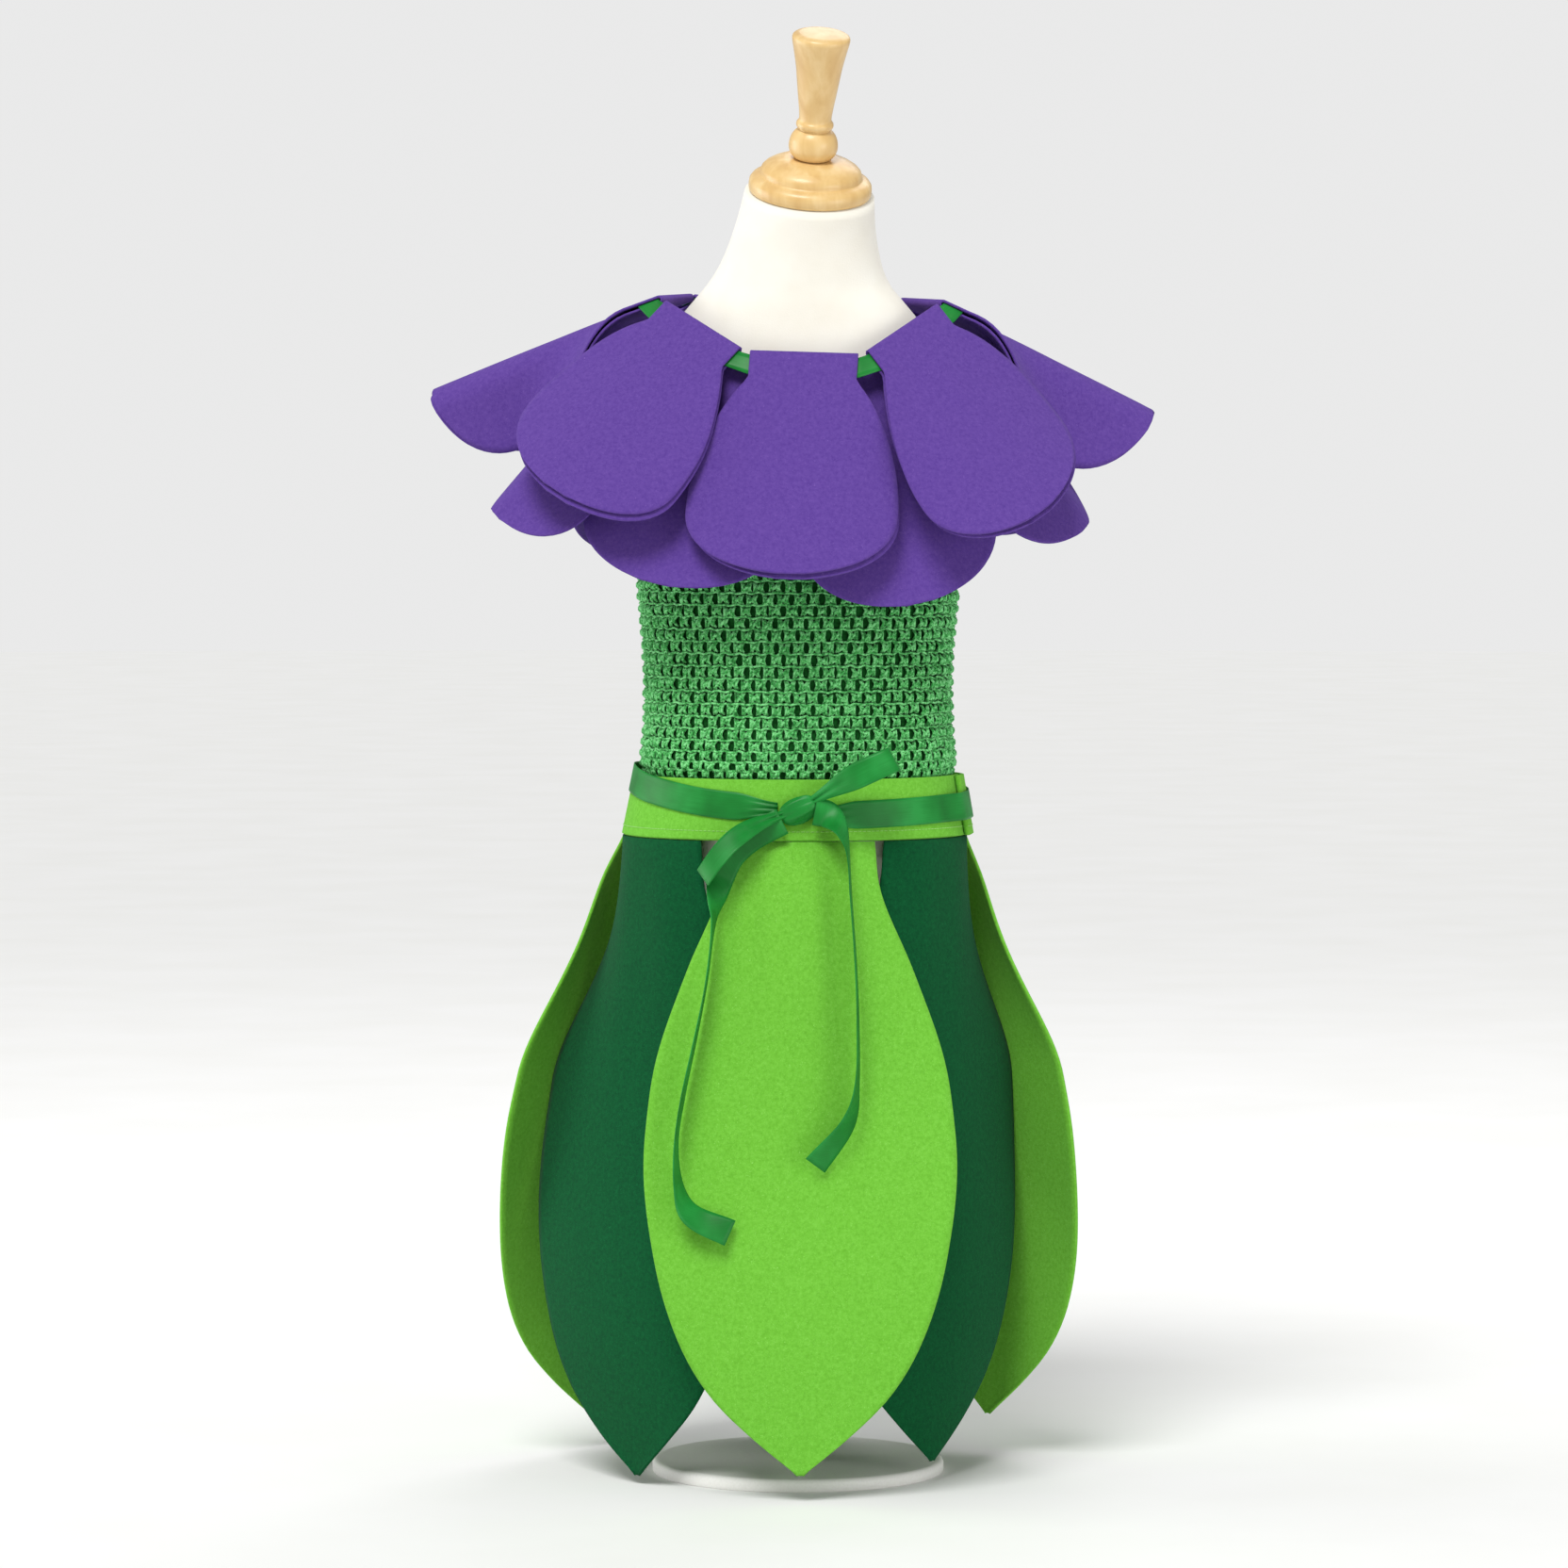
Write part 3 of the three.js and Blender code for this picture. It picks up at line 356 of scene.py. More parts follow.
# Stand: a steel tube pole screwed to a flat, heavy round base, on which the form is held up. Both are
# painted, and only the base's rim and the pole's foot show below the skirt.
BASE_RADIUS = 90
BASE_HEIGHT = 8
POLE_RADIUS = 12.5

# Powder coat on steel: half matt and white, with the fine skin that the baked powder leaves.
powder, powder_tree, powder_shader = new_material("white_powder_coat", {"Roughness": 0.5, "IOR": 1.5})
powder_coords = add_node(powder_tree, "ShaderNodeTexCoord")
powder_peel = add_node(powder_tree, "ShaderNodeTexNoise", {"Scale": marks(1.43), "Detail": 3.0},
                       {"Vector": (powder_coords, "Object")})
powder_tone = set_ramp(add_node(powder_tree, "ShaderNodeValToRGB", None, {"Fac": (powder_peel, "Fac")}),
                       [(0.3, "#F2F1EC"), (0.7, "#F8F7F3")])
powder_bump = add_node(powder_tree, "ShaderNodeBump", {"Strength": 0.1, "Distance": 0.0003},
                       {"Height": (powder_peel, "Fac")})
powder_tree.links.new(powder_tone.outputs["Color"], powder_shader.inputs["Base Color"])
powder_tree.links.new(powder_bump.outputs["Normal"], powder_shader.inputs["Normal"])
pole_foot, pole_head = BASE_HEIGHT + SEAM_GAP, FORM_FOOT - SEAM_GAP
base_profile = [(0, 0), (BASE_RADIUS - 0.8, 0), (BASE_RADIUS, 0.8), (BASE_RADIUS, 5.2),
                (BASE_RADIUS - 0.6, 6.8), (BASE_RADIUS - 2, 7.8), (BASE_RADIUS - 3.5, BASE_HEIGHT),
                (0, BASE_HEIGHT)]
pole_profile = [(0, pole_foot), (POLE_RADIUS, pole_foot), (POLE_RADIUS, pole_head), (0, pole_head)]
stand_base = turned_piece("stand_base_plate", base_profile, Matrix.Identity(4), powder)
stand_pole = turned_piece("stand_steel_pole", pole_profile, Matrix.Identity(4), powder)
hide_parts("stand_base")
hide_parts("stand_pole")
for stand_piece in (stand_base, stand_pole):
    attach(stand_piece, "root")


# Bodice: a stretchy tube crocheted in soft green acrylic yarn, pulled over the form. Rows of crossed
# stitches stand between level yarns, each row half a stitch on, with slots between the stitches that
# show an inner layer of loops darkened as painted shade.
EDGE_BULGE = 0.2
SHARE_STEP = 1e-3


def wall_piece(name, point, columns, rows, thickness, material, looped=False):
    """A thin shell: point(across, along) gives the middle surface in millimetres for shares 0 to 1."""
    across = np.linspace(0, 1, columns + 1)
    if looped:
        across = across[:-1]
    share_across, share_along = np.meshgrid(across, np.asarray(rows, dtype=float))
    low, high = share_across - SHARE_STEP, share_across + SHARE_STEP
    if not looped:
        low, high = np.maximum(low, 0), np.minimum(high, 1)
    middle = point(share_across, share_along)
    tangent = point(high, share_along) - point(low, share_along)
    run = (point(share_across, np.minimum(share_along + SHARE_STEP, 1))
           - point(share_across, np.maximum(share_along - SHARE_STEP, 0)))
    normal = np.cross(tangent, run)
    normal /= np.maximum(np.linalg.norm(normal, axis=2, keepdims=True), 1e-9)
    height, width, _ = middle.shape
    front = middle + normal * thickness / 2
    back = middle - normal * thickness / 2
    points = np.concatenate([front.reshape(-1, 3), back.reshape(-1, 3)])
    steps_across = np.linalg.norm(np.diff(middle, axis=1), axis=2)
    steps_along = np.linalg.norm(np.diff(middle, axis=0), axis=2)
    map_across = np.concatenate([np.zeros((height, 1)), np.cumsum(steps_across, axis=1)], axis=1)
    map_along = np.concatenate([np.zeros((1, width)), np.cumsum(steps_along, axis=0)], axis=0)
    mapped = np.stack([map_across, map_along], axis=2).reshape(-1, 2)
    layer = height * width
    faces = []
    wrap = width if looped else width - 1
    for r in range(height - 1):
        for c in range(wrap):
            d = (c + 1) % width
            a, b, e, f = r * width + c, r * width + d, (r + 1) * width + d, (r + 1) * width + c
            faces.append((a, b, e, f))
            faces.append((layer + a, layer + f, layer + e, layer + b))
    if looped:
        rims = [([(0, c) for c in range(width)], (1, 0)), ([(height - 1, c) for c in range(width)], (-1, 0))]
        rims = [(loop, [(r + inward[0], c) for r, c in loop]) for loop, inward in rims]
    else:
        loop = [(0, c) for c in range(width)] + [(r, width - 1) for r in range(1, height)]
        loop += [(height - 1, c) for c in range(width - 2, -1, -1)]
        loop += [(r, 0) for r in range(height - 2, 0, -1)]
        rims = [(loop, [(min(max(r, 1), height - 2), min(max(c, 1), width - 2)) for r, c in loop])]
    extra, extra_map = [], []
    for loop, inner in rims:
        first = 2 * layer + len(extra)
        for (r, c), (ri, ci) in zip(loop, inner):
            outward = middle[r, c] - middle[ri, ci]
            size = np.linalg.norm(outward)
            push = outward / size * thickness * EDGE_BULGE if size > 1e-6 else outward * 0
            extra.append(middle[r, c] + push)
            extra_map.append(mapped[r * width + c])
        for i, (r, c) in enumerate(loop):
            j = (i + 1) % len(loop)
            s, t = loop[j]
            a, b = r * width + c, s * width + t
            faces.append((a, b, first + j, first + i))
            faces.append((first + i, first + j, layer + b, layer + a))
    points = np.concatenate([points, np.array(extra)])
    mapped = np.concatenate([mapped, mapped, np.array(extra_map)])
    piece = mesh_object(name, points, faces, material)
    face_outwards(piece)
    layer_map = piece.data.uv_layers.new(name="cloth")
    loops = np.zeros(len(piece.data.loops), dtype=np.int32)
    piece.data.loops.foreach_get("vertex_index", loops)
    layer_map.data.foreach_set("uv", (mapped[loops] * MM).astype(np.float32).ravel())
    return piece


def plain_cloth(piece, nodes):
    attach(piece, "root")
    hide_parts(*nodes)


# Acrylic yarn: spun from fine, slightly glossy fibres. Its colour runs at random from deep green to pale
# mint:
# partly the yarn's own uneven tone, partly painted highlight and painted shade on each strand's twist.
# The fibres are far too fine to show and are drawn about 0.7 mm wide.
yarn, yarn_tree, yarn_shader = new_material("soft_acrylic_yarn", {
    "Roughness": 0.75, "Specular IOR Level": 0.25, "Sheen Weight": 0.12, "Sheen Roughness": 0.5})
yarn_coords = add_node(yarn_tree, "ShaderNodeTexCoord")
yarn_tint_and_painted_light_noise = add_node(yarn_tree, "ShaderNodeTexNoise",
                       {"Scale": marks(2.17), "Detail": 4.0, "Roughness": 0.7},
                       {"Vector": (yarn_coords, "Object")})
# Deep green to pale mint: the yarn's own tone with painted highlight and painted shade mixed in.
yarn_tint_and_painted_light = set_ramp(add_node(yarn_tree, "ShaderNodeValToRGB", None, {"Fac": (yarn_tint_and_painted_light_noise, "Fac")}),
                     [(0.34, "#146425"), (0.46, "#3EB04E"), (0.58, "#8EEC98")])
yarn_fibre = add_node(yarn_tree, "ShaderNodeTexNoise",
                      {"Scale": marks(0.667), "Detail": 3.0, "Distortion": 1.2},
                      {"Vector": (yarn_coords, "Object")})
yarn_bump = add_node(yarn_tree, "ShaderNodeBump", {"Strength": 0.8, "Distance": 0.0009},
                     {"Height": (yarn_fibre, "Fac")})
yarn_tree.links.new(yarn_tint_and_painted_light.outputs["Color"], yarn_shader.inputs["Base Color"])
yarn_tree.links.new(yarn_bump.outputs["Normal"], yarn_shader.inputs["Normal"])

# The same yarn deep in the slots, matt and darkened: its colour is painted shade between the stitches.
slot_painted_shade_green, slot_tree, slot_shader = new_material(
    "crochet_slot_painted_shade", {"Roughness": 0.9, "Specular IOR Level": 0.1})
slot_coords = add_node(slot_tree, "ShaderNodeTexCoord")
slot_noise = add_node(slot_tree, "ShaderNodeTexNoise", {"Scale": marks(2), "Detail": 3.0},
                      {"Vector": (slot_coords, "Object")})
slot_painted_shade_tone = set_ramp(add_node(slot_tree, "ShaderNodeValToRGB", None, {"Fac": (slot_noise, "Fac")}),
                     [(0.35, "#07360F"), (0.7, "#14561F")])
slot_tree.links.new(slot_painted_shade_tone.outputs["Color"], slot_shader.inputs["Base Color"])

BODICE_ROWS = table("at height half_width half_depth", [
    (0, 398, 95, 73),
    (0.15, 431, 94.8, 72.6),
    (0.22, 441, 96.6, 74),
    (0.34, 463, 94.8, 72),
    (0.53, 502, 94.9, 72.6),
    (0.76, 548, 98.4, 75.6),
    (1, 596, 99.6, 77),
])
BODICE_MEAN = (97, 75)
CROCHET_WALL = 3.2
INNER_LOOPS_WALL = 0.9
STITCHES_ROUND = 58
STITCH_ROWS = 27
STITCH_BELOW = 1.25
STITCH_SIZE = np.array([0.84, 1, 1.1])
UNEVEN_ACROSS, UNEVEN_ALONG, UNEVEN_SIZE = 0.05, 0.045, 0.06
STITCH_YARN = [0.7, 1.15, 1.15, 0.7]
LEVEL_YARN = 0.8
YARN_SIDES = 4
LEVEL_WAVE, UNEVEN_LEVEL = 0.07, 0.03
LEVEL_BELOW, LEVEL_IN_OUT = 0.75, 0.45


def even_angle(share, half_width, half_depth):
    """The angle on an ellipse at a share of the way round, so equal shares are equal lengths of cloth."""
    grid = np.linspace(0, 2 * math.pi, 721)
    speed = np.hypot(half_width * np.sin(grid), half_depth * np.cos(grid))
    walked = np.concatenate([[0], np.cumsum((speed[1:] + speed[:-1]) / 2)])
    turns = np.floor(share)
    return 2 * math.pi * turns + np.interp(share - turns, walked / walked[-1], grid)


def bodice_point(across, along, below):
    """A point so many millimetres below the crochet's outer face."""
    angle = even_angle(np.asarray(across), *BODICE_MEAN)
    half_width = read_rows(BODICE_ROWS, "half_width", along) - below
    half_depth = read_rows(BODICE_ROWS, "half_depth", along) - below
    height = read_rows(BODICE_ROWS, "height", along) + 0 * angle
    return np.stack([half_width * np.cos(angle), half_depth * np.sin(angle), height], axis=-1)


def tube(path, radius, sides, closed=False):
    """A round yarn along a path, in millimetres: its points and faces."""
    path = np.asarray(path, dtype=float)
    if closed:
        run = np.roll(path, -1, axis=0) - np.roll(path, 1, axis=0)
    else:
        run = np.gradient(path, axis=0)
    run /= np.linalg.norm(run, axis=1, keepdims=True)
    helper = np.where(np.abs(run[:, 2:3]) > 0.9, np.array([[1.0, 0, 0]]), np.array([[0, 0, 1.0]]))
    side = np.cross(run, helper)
    side /= np.linalg.norm(side, axis=1, keepdims=True)
    up = np.cross(side, run)
    angles = np.linspace(0, 2 * math.pi, sides, endpoint=False)
    radii = np.broadcast_to(radius, (len(path),))
    rings = (path[:, None] + radii[:, None, None]
             * (np.cos(angles)[None, :, None] * side[:, None] + np.sin(angles)[None, :, None] * up[:, None]))
    count = len(path)
    faces = []
    for i in range(count if closed else count - 1):
        j = (i + 1) % count
        for s in range(sides):
            t = (s + 1) % sides
            faces.append((i * sides + s, i * sides + t, j * sides + t, j * sides + s))
    if not closed:
        faces.append(tuple(range(sides)))
        faces.append(tuple(range((count - 1) * sides, count * sides)))
    return rings.reshape(-1, 3), faces


def join_shapes(shapes):
    points, faces, start = [], [], 0
    for shape_points, shape_faces in shapes:
        points.append(shape_points)
        faces += [tuple(start + i for i in face) for face in shape_faces]
        start += len(shape_points)
    return np.concatenate(points), faces


def repeat_on(name, places, turns, sizes, template, material):
    """Geometry Nodes put a template on every place, turned and sized by attributes, as one plain mesh."""
    mesh = bpy.data.meshes.new(name + "_places")
    mesh.from_pydata([tuple(p) for p in np.asarray(places) * MM], [], [])
    for key, values in (("turn", turns), ("size", sizes)):
        attribute = mesh.attributes.new(key, "FLOAT_VECTOR", "POINT")
        attribute.data.foreach_set("vector", np.asarray(values, dtype=np.float32).ravel())
    carrier = bpy.data.objects.new(name + "_places", mesh)
    scene.collection.objects.link(carrier)
    tree = bpy.data.node_groups.new(name + "_repeat", "GeometryNodeTree")
    tree.interface.new_socket("Places", in_out="INPUT", socket_type="NodeSocketGeometry")
    template_socket = tree.interface.new_socket("Template", in_out="INPUT", socket_type="NodeSocketObject")
    tree.interface.new_socket("Pieces", in_out="OUTPUT", socket_type="NodeSocketGeometry")
    entry = add_node(tree, "NodeGroupInput")
    turn = add_node(tree, "GeometryNodeInputNamedAttribute", {"data_type": "FLOAT_VECTOR", "Name": "turn"})
    size = add_node(tree, "GeometryNodeInputNamedAttribute", {"data_type": "FLOAT_VECTOR", "Name": "size"})
    to_turn = add_node(tree, "FunctionNodeEulerToRotation", None, {"Euler": (turn, "Attribute")})
    shape = add_node(tree, "GeometryNodeObjectInfo", None, {"Object": (entry, "Template")})
    spread = add_node(tree, "GeometryNodeInstanceOnPoints", None, {
        "Points": (entry, "Places"), "Instance": (shape, "Geometry"),
        "Rotation": (to_turn, "Rotation"), "Scale": (size, "Attribute")})
    real = add_node(tree, "GeometryNodeRealizeInstances", None, {"Geometry": (spread, "Instances")})
    painted = add_node(tree, "GeometryNodeSetMaterial", {"Material": material},
                       {"Geometry": (real, "Geometry")})
    add_node(tree, "NodeGroupOutput", None, {"Pieces": (painted, "Geometry")})
    modifier = carrier.modifiers.new("repeat", "NODES")
    modifier.node_group = tree
    modifier[template_socket.identifier] = template
    bpy.context.view_layer.update()
    result = bpy.data.meshes.new_from_object(carrier.evaluated_get(bpy.context.evaluated_depsgraph_get()))
    result.name = name
    carrier.modifiers.clear()
    if not result.materials:
        result.materials.append(material)
    piece = bpy.data.objects.new(name, result)
    scene.collection.objects.link(piece)
    for spent in (carrier, template):
        bpy.data.objects.remove(spent)
    return piece


def surface_turn(tangent, outward):
    """The turn that lays a template's X along the tangent and its Z outwards."""
    x_axis = Vector(tangent).normalized()
    z_axis = Vector(outward)
    z_axis = (z_axis - z_axis.project(x_axis)).normalized()
    y_axis = z_axis.cross(x_axis)
    return Matrix((x_axis, y_axis, z_axis)).transposed().to_euler()


rng = np.random.default_rng(11)
# The inner loops: a thin wall under the stitches in the darkened yarn, which paints the slots' shade.
inner_loops_below = CROCHET_WALL - INNER_LOOPS_WALL / 2
bodice_back = wall_piece("bodice_inner_loops", lambda a, b: bodice_point(a, b, inner_loops_below),
                         ROUND_SIDES, np.linspace(0, 1, 40), INNER_LOOPS_WALL, slot_painted_shade_green, looped=True)

# the four strands of one stitch, in millimetres: two upright at its sides and two that cross
POST_LINES = [
    [(-3.9, -3.2, -0.6), (-2.7, -1.1, 0.7), (-2.6, 1.1, 0.9), (-3.9, 3.2, -0.5)],
    [(3.9, -3.2, -0.5), (2.6, -1.1, 0.9), (2.7, 1.1, 0.7), (3.9, 3.2, -0.6)],
    [(-2.2, -3.1, -0.5), (-1.0, -0.8, 1.2), (1.0, 0.8, 1.2), (2.2, 3.1, -0.5)],
    [(2.2, -3.1, -0.6), (1.0, -0.8, 0.3), (-1.0, 0.8, 0.3), (-2.2, 3.1, -0.6)],
]
stitch_points, stitch_faces = join_shapes([tube(line, STITCH_YARN, YARN_SIDES) for line in POST_LINES])
stitch = mesh_object("crossed_stitch", stitch_points, stitch_faces, yarn)
face_outwards(stitch)

stitch_places, stitch_turns, stitch_sizes = [], [], []
for row in range(STITCH_ROWS):
    for column in range(STITCHES_ROUND):
        across = (column + 0.5 * (row % 2) + rng.normal(0, UNEVEN_ACROSS)) / STITCHES_ROUND
        along = (row + 0.5 + rng.normal(0, UNEVEN_ALONG)) / STITCH_ROWS
        on = bodice_point(across, along, STITCH_BELOW)
        beside = bodice_point(across + SHARE_STEP, along, STITCH_BELOW) - on
        above = bodice_point(across, along + SHARE_STEP, STITCH_BELOW) - on
        stitch_places.append(on)
        stitch_turns.append(surface_turn(beside, np.cross(beside, above)))
        stitch_sizes.append(STITCH_SIZE + rng.normal(0, UNEVEN_SIZE, 3))
bodice_stitches = repeat_on("bodice_crossed_stitches", stitch_places, stitch_turns, stitch_sizes,
                            stitch, yarn)

level_yarns = []
for row in range(STITCH_ROWS + 1):
    turns = np.linspace(0, 1, STITCHES_ROUND * 4, endpoint=False)
    phase = turns * STITCHES_ROUND * 2 * math.pi + math.pi * (row % 2)
    wander = LEVEL_WAVE * np.cos(phase) + UNEVEN_LEVEL * rng.normal(size=len(turns))
    along = np.clip((row + wander) / STITCH_ROWS, 0.004, 0.996)
    below = LEVEL_BELOW + LEVEL_IN_OUT * np.cos(phase)
    level_yarns.append(tube(bodice_point(turns, along, below), LEVEL_YARN, YARN_SIDES, closed=True))
level_points, level_faces = join_shapes(level_yarns)
bodice_levels = mesh_object("bodice_level_yarns", level_points, level_faces, yarn)
face_outwards(bodice_levels)
for crochet_piece in (bodice_stitches, bodice_levels):
    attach(crochet_piece, "root")
plain_cloth(bodice_back, ["bodice"])


# Waistband: a strip of lime craft felt, folded lengthwise and stitched, run round the waist over the
# bodice's lower edge and lapped at one side. The leaves are sewn under it.
def craft_felt(name, dark, middle, light, fibre):
    """Craft felt: matted fibre with no weave, quite matt and softly mottled, with lighter stray fibres."""
    material, tree, shader = new_material(
        name, {"Roughness": 0.95, "Specular IOR Level": 0.04, "Sheen Weight": 0.03, "Sheen Roughness": 0.6})
    coords = add_node(tree, "ShaderNodeTexCoord")
    mottle = add_node(tree, "ShaderNodeTexNoise", {"Scale": marks(2.38), "Detail": 6.0, "Roughness": 0.75},
                      {"Vector": (coords, "Object")})
    tone = set_ramp(add_node(tree, "ShaderNodeValToRGB", None, {"Fac": (mottle, "Fac")}),
                    [(0.32, dark), (0.5, middle), (0.68, light)])
    strands = add_node(tree, "ShaderNodeTexNoise", {"Scale": marks(1.92), "Detail": 4.0, "Distortion": 3.5},
                       {"Vector": (coords, "Object")})
    stray = set_ramp(add_node(tree, "ShaderNodeValToRGB", None, {"Fac": (strands, "Fac")}),
                     [(0.62, "#000000"), (0.72, "#FFFFFF")])
    mixed = add_node(tree, "ShaderNodeMix", {"data_type": "RGBA", "blend_type": "MIX"})
    tree.links.new(stray.outputs["Color"], mixed.inputs[0])
    tree.links.new(tone.outputs["Color"], mixed.inputs[6])
    mixed.inputs[7].default_value = linear(fibre)
    bump = add_node(tree, "ShaderNodeBump", {"Strength": 0.3, "Distance": 0.0007},
                    {"Height": (strands, "Fac")})
    tree.links.new(mixed.outputs[2], shader.inputs["Base Color"])
    tree.links.new(bump.outputs["Normal"], shader.inputs["Normal"])
    return material


lime_felt = craft_felt("lime_craft_felt", "#62AA2F", "#6DB839", "#77C244", "#8ACF5C")
FELT_BAND = 3.0
BAND_LOW, BAND_HIGH = 395.0, 431.0
BAND_FOOT = {"x": -2, "half_width": 106.5, "half_depth": 82}
BAND_HEAD = {"x": -1.5, "half_width": 99.7, "half_depth": 77}
BAND_LAP = math.radians(14)
LAP_RISE = (math.radians(338), math.radians(357))
BAND_LAP_STEP = FELT_BAND + 2 * SEAM_GAP


def smooth_step(start, end, value):
    share = np.clip((np.asarray(value, dtype=float) - start) / (end - start), 0, 1)
    return share * share * (3 - 2 * share)


def band_point(turn, height, outward):
    """A point so far outside the band's outer face, at a turn from the middle of the front."""
    share = (height - BAND_LOW) / (BAND_HIGH - BAND_LOW)
    x, half_width, half_depth = (BAND_FOOT[key] + (BAND_HEAD[key] - BAND_FOOT[key]) * share
                                 for key in BAND_FOOT)
    return np.stack([x + (half_width + outward) * np.sin(turn), -(half_depth + outward) * np.cos(turn),
                     height + 0 * turn], axis=-1)


def waistband_point(across, along):
    """The band's middle surface: its end rises over its start, and its upper edge ripples a little."""
    walked = across * (2 * math.pi + BAND_LAP)
    lift = BAND_LAP_STEP * smooth_step(*LAP_RISE, walked)
    ripple = 0.14 * np.sin(walked * 9 + 1.3) * along + 0.1 * np.sin(walked * 23) * along ** 2
    return band_point(math.pi / 2 - walked, BAND_LOW + (BAND_HIGH - BAND_LOW) * along,
                      lift - FELT_BAND / 2 + ripple)


waistband = wall_piece("felt_waistband", waistband_point, 240, [0, 0.02, 0.2, 0.4, 0.6, 0.8, 0.98, 1],
                       FELT_BAND, lime_felt)

# Topstitching: one line of machine stitches near the band's lower edge, which closes the folded strip.
# Each stitch sinks into the felt at both ends.
STITCH_STEP = 2.6
STITCH_LINE = 0.14
THREAD_RADIUS = 0.22
BAND_MEAN_RADIUS = 93

# Polyester sewing thread: matched to the felt, with a slight gloss from its twist of 0.4 mm.
thread, thread_tree, thread_shader = new_material(
    "lime_sewing_thread", {"Roughness": 0.55, "Sheen Weight": 0.2})
thread_coords = add_node(thread_tree, "ShaderNodeTexCoord")
thread_twist = add_node(thread_tree, "ShaderNodeTexNoise", {"Scale": marks(0.4), "Detail": 2.0},
                        {"Vector": (thread_coords, "Object")})
thread_tone = set_ramp(add_node(thread_tree, "ShaderNodeValToRGB", None, {"Fac": (thread_twist, "Fac")}),
                       [(0.35, "#86C955"), (0.65, "#A3DB74")])
thread_tree.links.new(thread_tone.outputs["Color"], thread_shader.inputs["Base Color"])
thread_line = [(-1.05, 0, -0.25), (-0.7, 0, 0.12), (0, 0, 0.22), (0.7, 0, 0.12), (1.05, 0, -0.25)]
thread_points, thread_faces = tube(thread_line, THREAD_RADIUS, 5)
thread_stitch = mesh_object("thread_stitch", thread_points, thread_faces, thread)
face_outwards(thread_stitch)
count = int(BAND_MEAN_RADIUS * (2 * math.pi + BAND_LAP) / STITCH_STEP)
places, turns, sizes = [], [], []
for share in (np.arange(count) + 0.5) / count:
    on = waistband_point(np.array(share), np.array(STITCH_LINE))
    beside = waistband_point(np.array(share + SHARE_STEP / 2), np.array(STITCH_LINE)) - on
    above = waistband_point(np.array(share), np.array(STITCH_LINE + 0.06)) - on
    outward = np.cross(above, beside)
    outward /= np.linalg.norm(outward)
    if outward[0] * on[0] + outward[1] * on[1] < 0:
        outward = -outward
    places.append(on + outward * FELT_BAND / 2)
    turns.append(surface_turn(beside, outward))
    sizes.append((1, 1, 1))
band_stitches = repeat_on("waistband_topstitching", places, turns, sizes, thread_stitch, thread)
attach(band_stitches, "root")
plain_cloth(waistband, ["waistband"])

# Skirt leaves: six leaves of one cut in thick craft felt, sewn behind the band's lower edge, lime over
# dark green. They stand off by their own stiffness, with soft folds below the seam and clean cut edges.
dark_felt = craft_felt("bottle_green_craft_felt", "#054326", "#074F2A", "#0A582F", "#13663B")
FELT_LEAF = 2.0
LEAF_FLUTTER = 1.1
FOLD_FANNING = 0.9
LEAF_OUTLINE = table("at half_width", [
    (0, 46), (0.08, 49.5), (0.2, 69), (0.33, 85.5), (0.45, 92.5), (0.53, 93.7), (0.62, 90),
    (0.72, 82), (0.81, 69), (0.88, 52), (0.94, 29), (1, 1.6),
])
LEAF_SPREAD = table("at outer inner", [
    (0, 0, 0), (0.08, 0.3, 0.06), (0.2, 0.45, 0.1), (0.35, 0.57, 0.22), (0.5, 0.75, 0.55),
    (0.65, 0.94, 0.92), (0.8, 1.04, 1), (0.92, 1.04, 0.8), (1, 1, 0.6),
])
# arc is a leaf's middle along the band, and spread how far its tip stands off. folds: place across the
# leaf, depth, half width, and the share of its length that the fold reaches down
LEAVES = [
    {"name": "front", "layer": "outer", "arc": 3, "spread": 47, "lean": -1, "turn": 0, "bend": 700,
     "drop": 377, "folds": [(-15, 2.6, 9, 0.5), (7, 3.4, 8, 0.62), (29, 2.8, 8, 0.42), (-34, 2.0, 7, 0.36)]},
    {"name": "dark_left", "layer": "inner", "arc": -105, "spread": 24, "lean": 9, "turn": 10, "bend": 310,
     "drop": 388, "folds": [(-20, 1.2, 14, 0.6), (18, 1.0, 12, 0.4)]},
    {"name": "dark_right", "layer": "inner", "arc": 101.5, "spread": 8, "lean": -15, "turn": -3, "bend": 240,
     "drop": 379, "folds": [(16, 1.2, 13, 0.6), (-12, 0.9, 12, 0.4)]},
    {"name": "lime_left", "layer": "outer", "arc": -199.5, "spread": 59, "lean": 4, "turn": 0, "bend": 640,
     "drop": 370, "folds": [(-18, 1.6, 10, 0.45), (22, 1.8, 9, 0.38)]},
    {"name": "lime_right", "layer": "outer", "arc": 199.5, "spread": 44, "lean": -8, "turn": 0, "bend": 640,
     "drop": 369, "folds": [(20, 1.7, 10, 0.5), (-24, 1.4, 9, 0.35)]},
    {"name": "dark_back", "layer": "inner", "arc": 292.7, "spread": 16, "lean": 0, "turn": 0, "bend": 400,
     "drop": 380, "folds": [(-8, 1.2, 13, 0.5), (24, 0.9, 10, 0.35)]},
]
LEAF_TOP_Z = BAND_LOW - 1.2
LEAF_TOP = {"x": BAND_FOOT["x"], "y": 0, "half_width": BAND_FOOT["half_width"] - FELT_BAND / 2,
            "half_depth": BAND_FOOT["half_depth"] - FELT_BAND / 2}


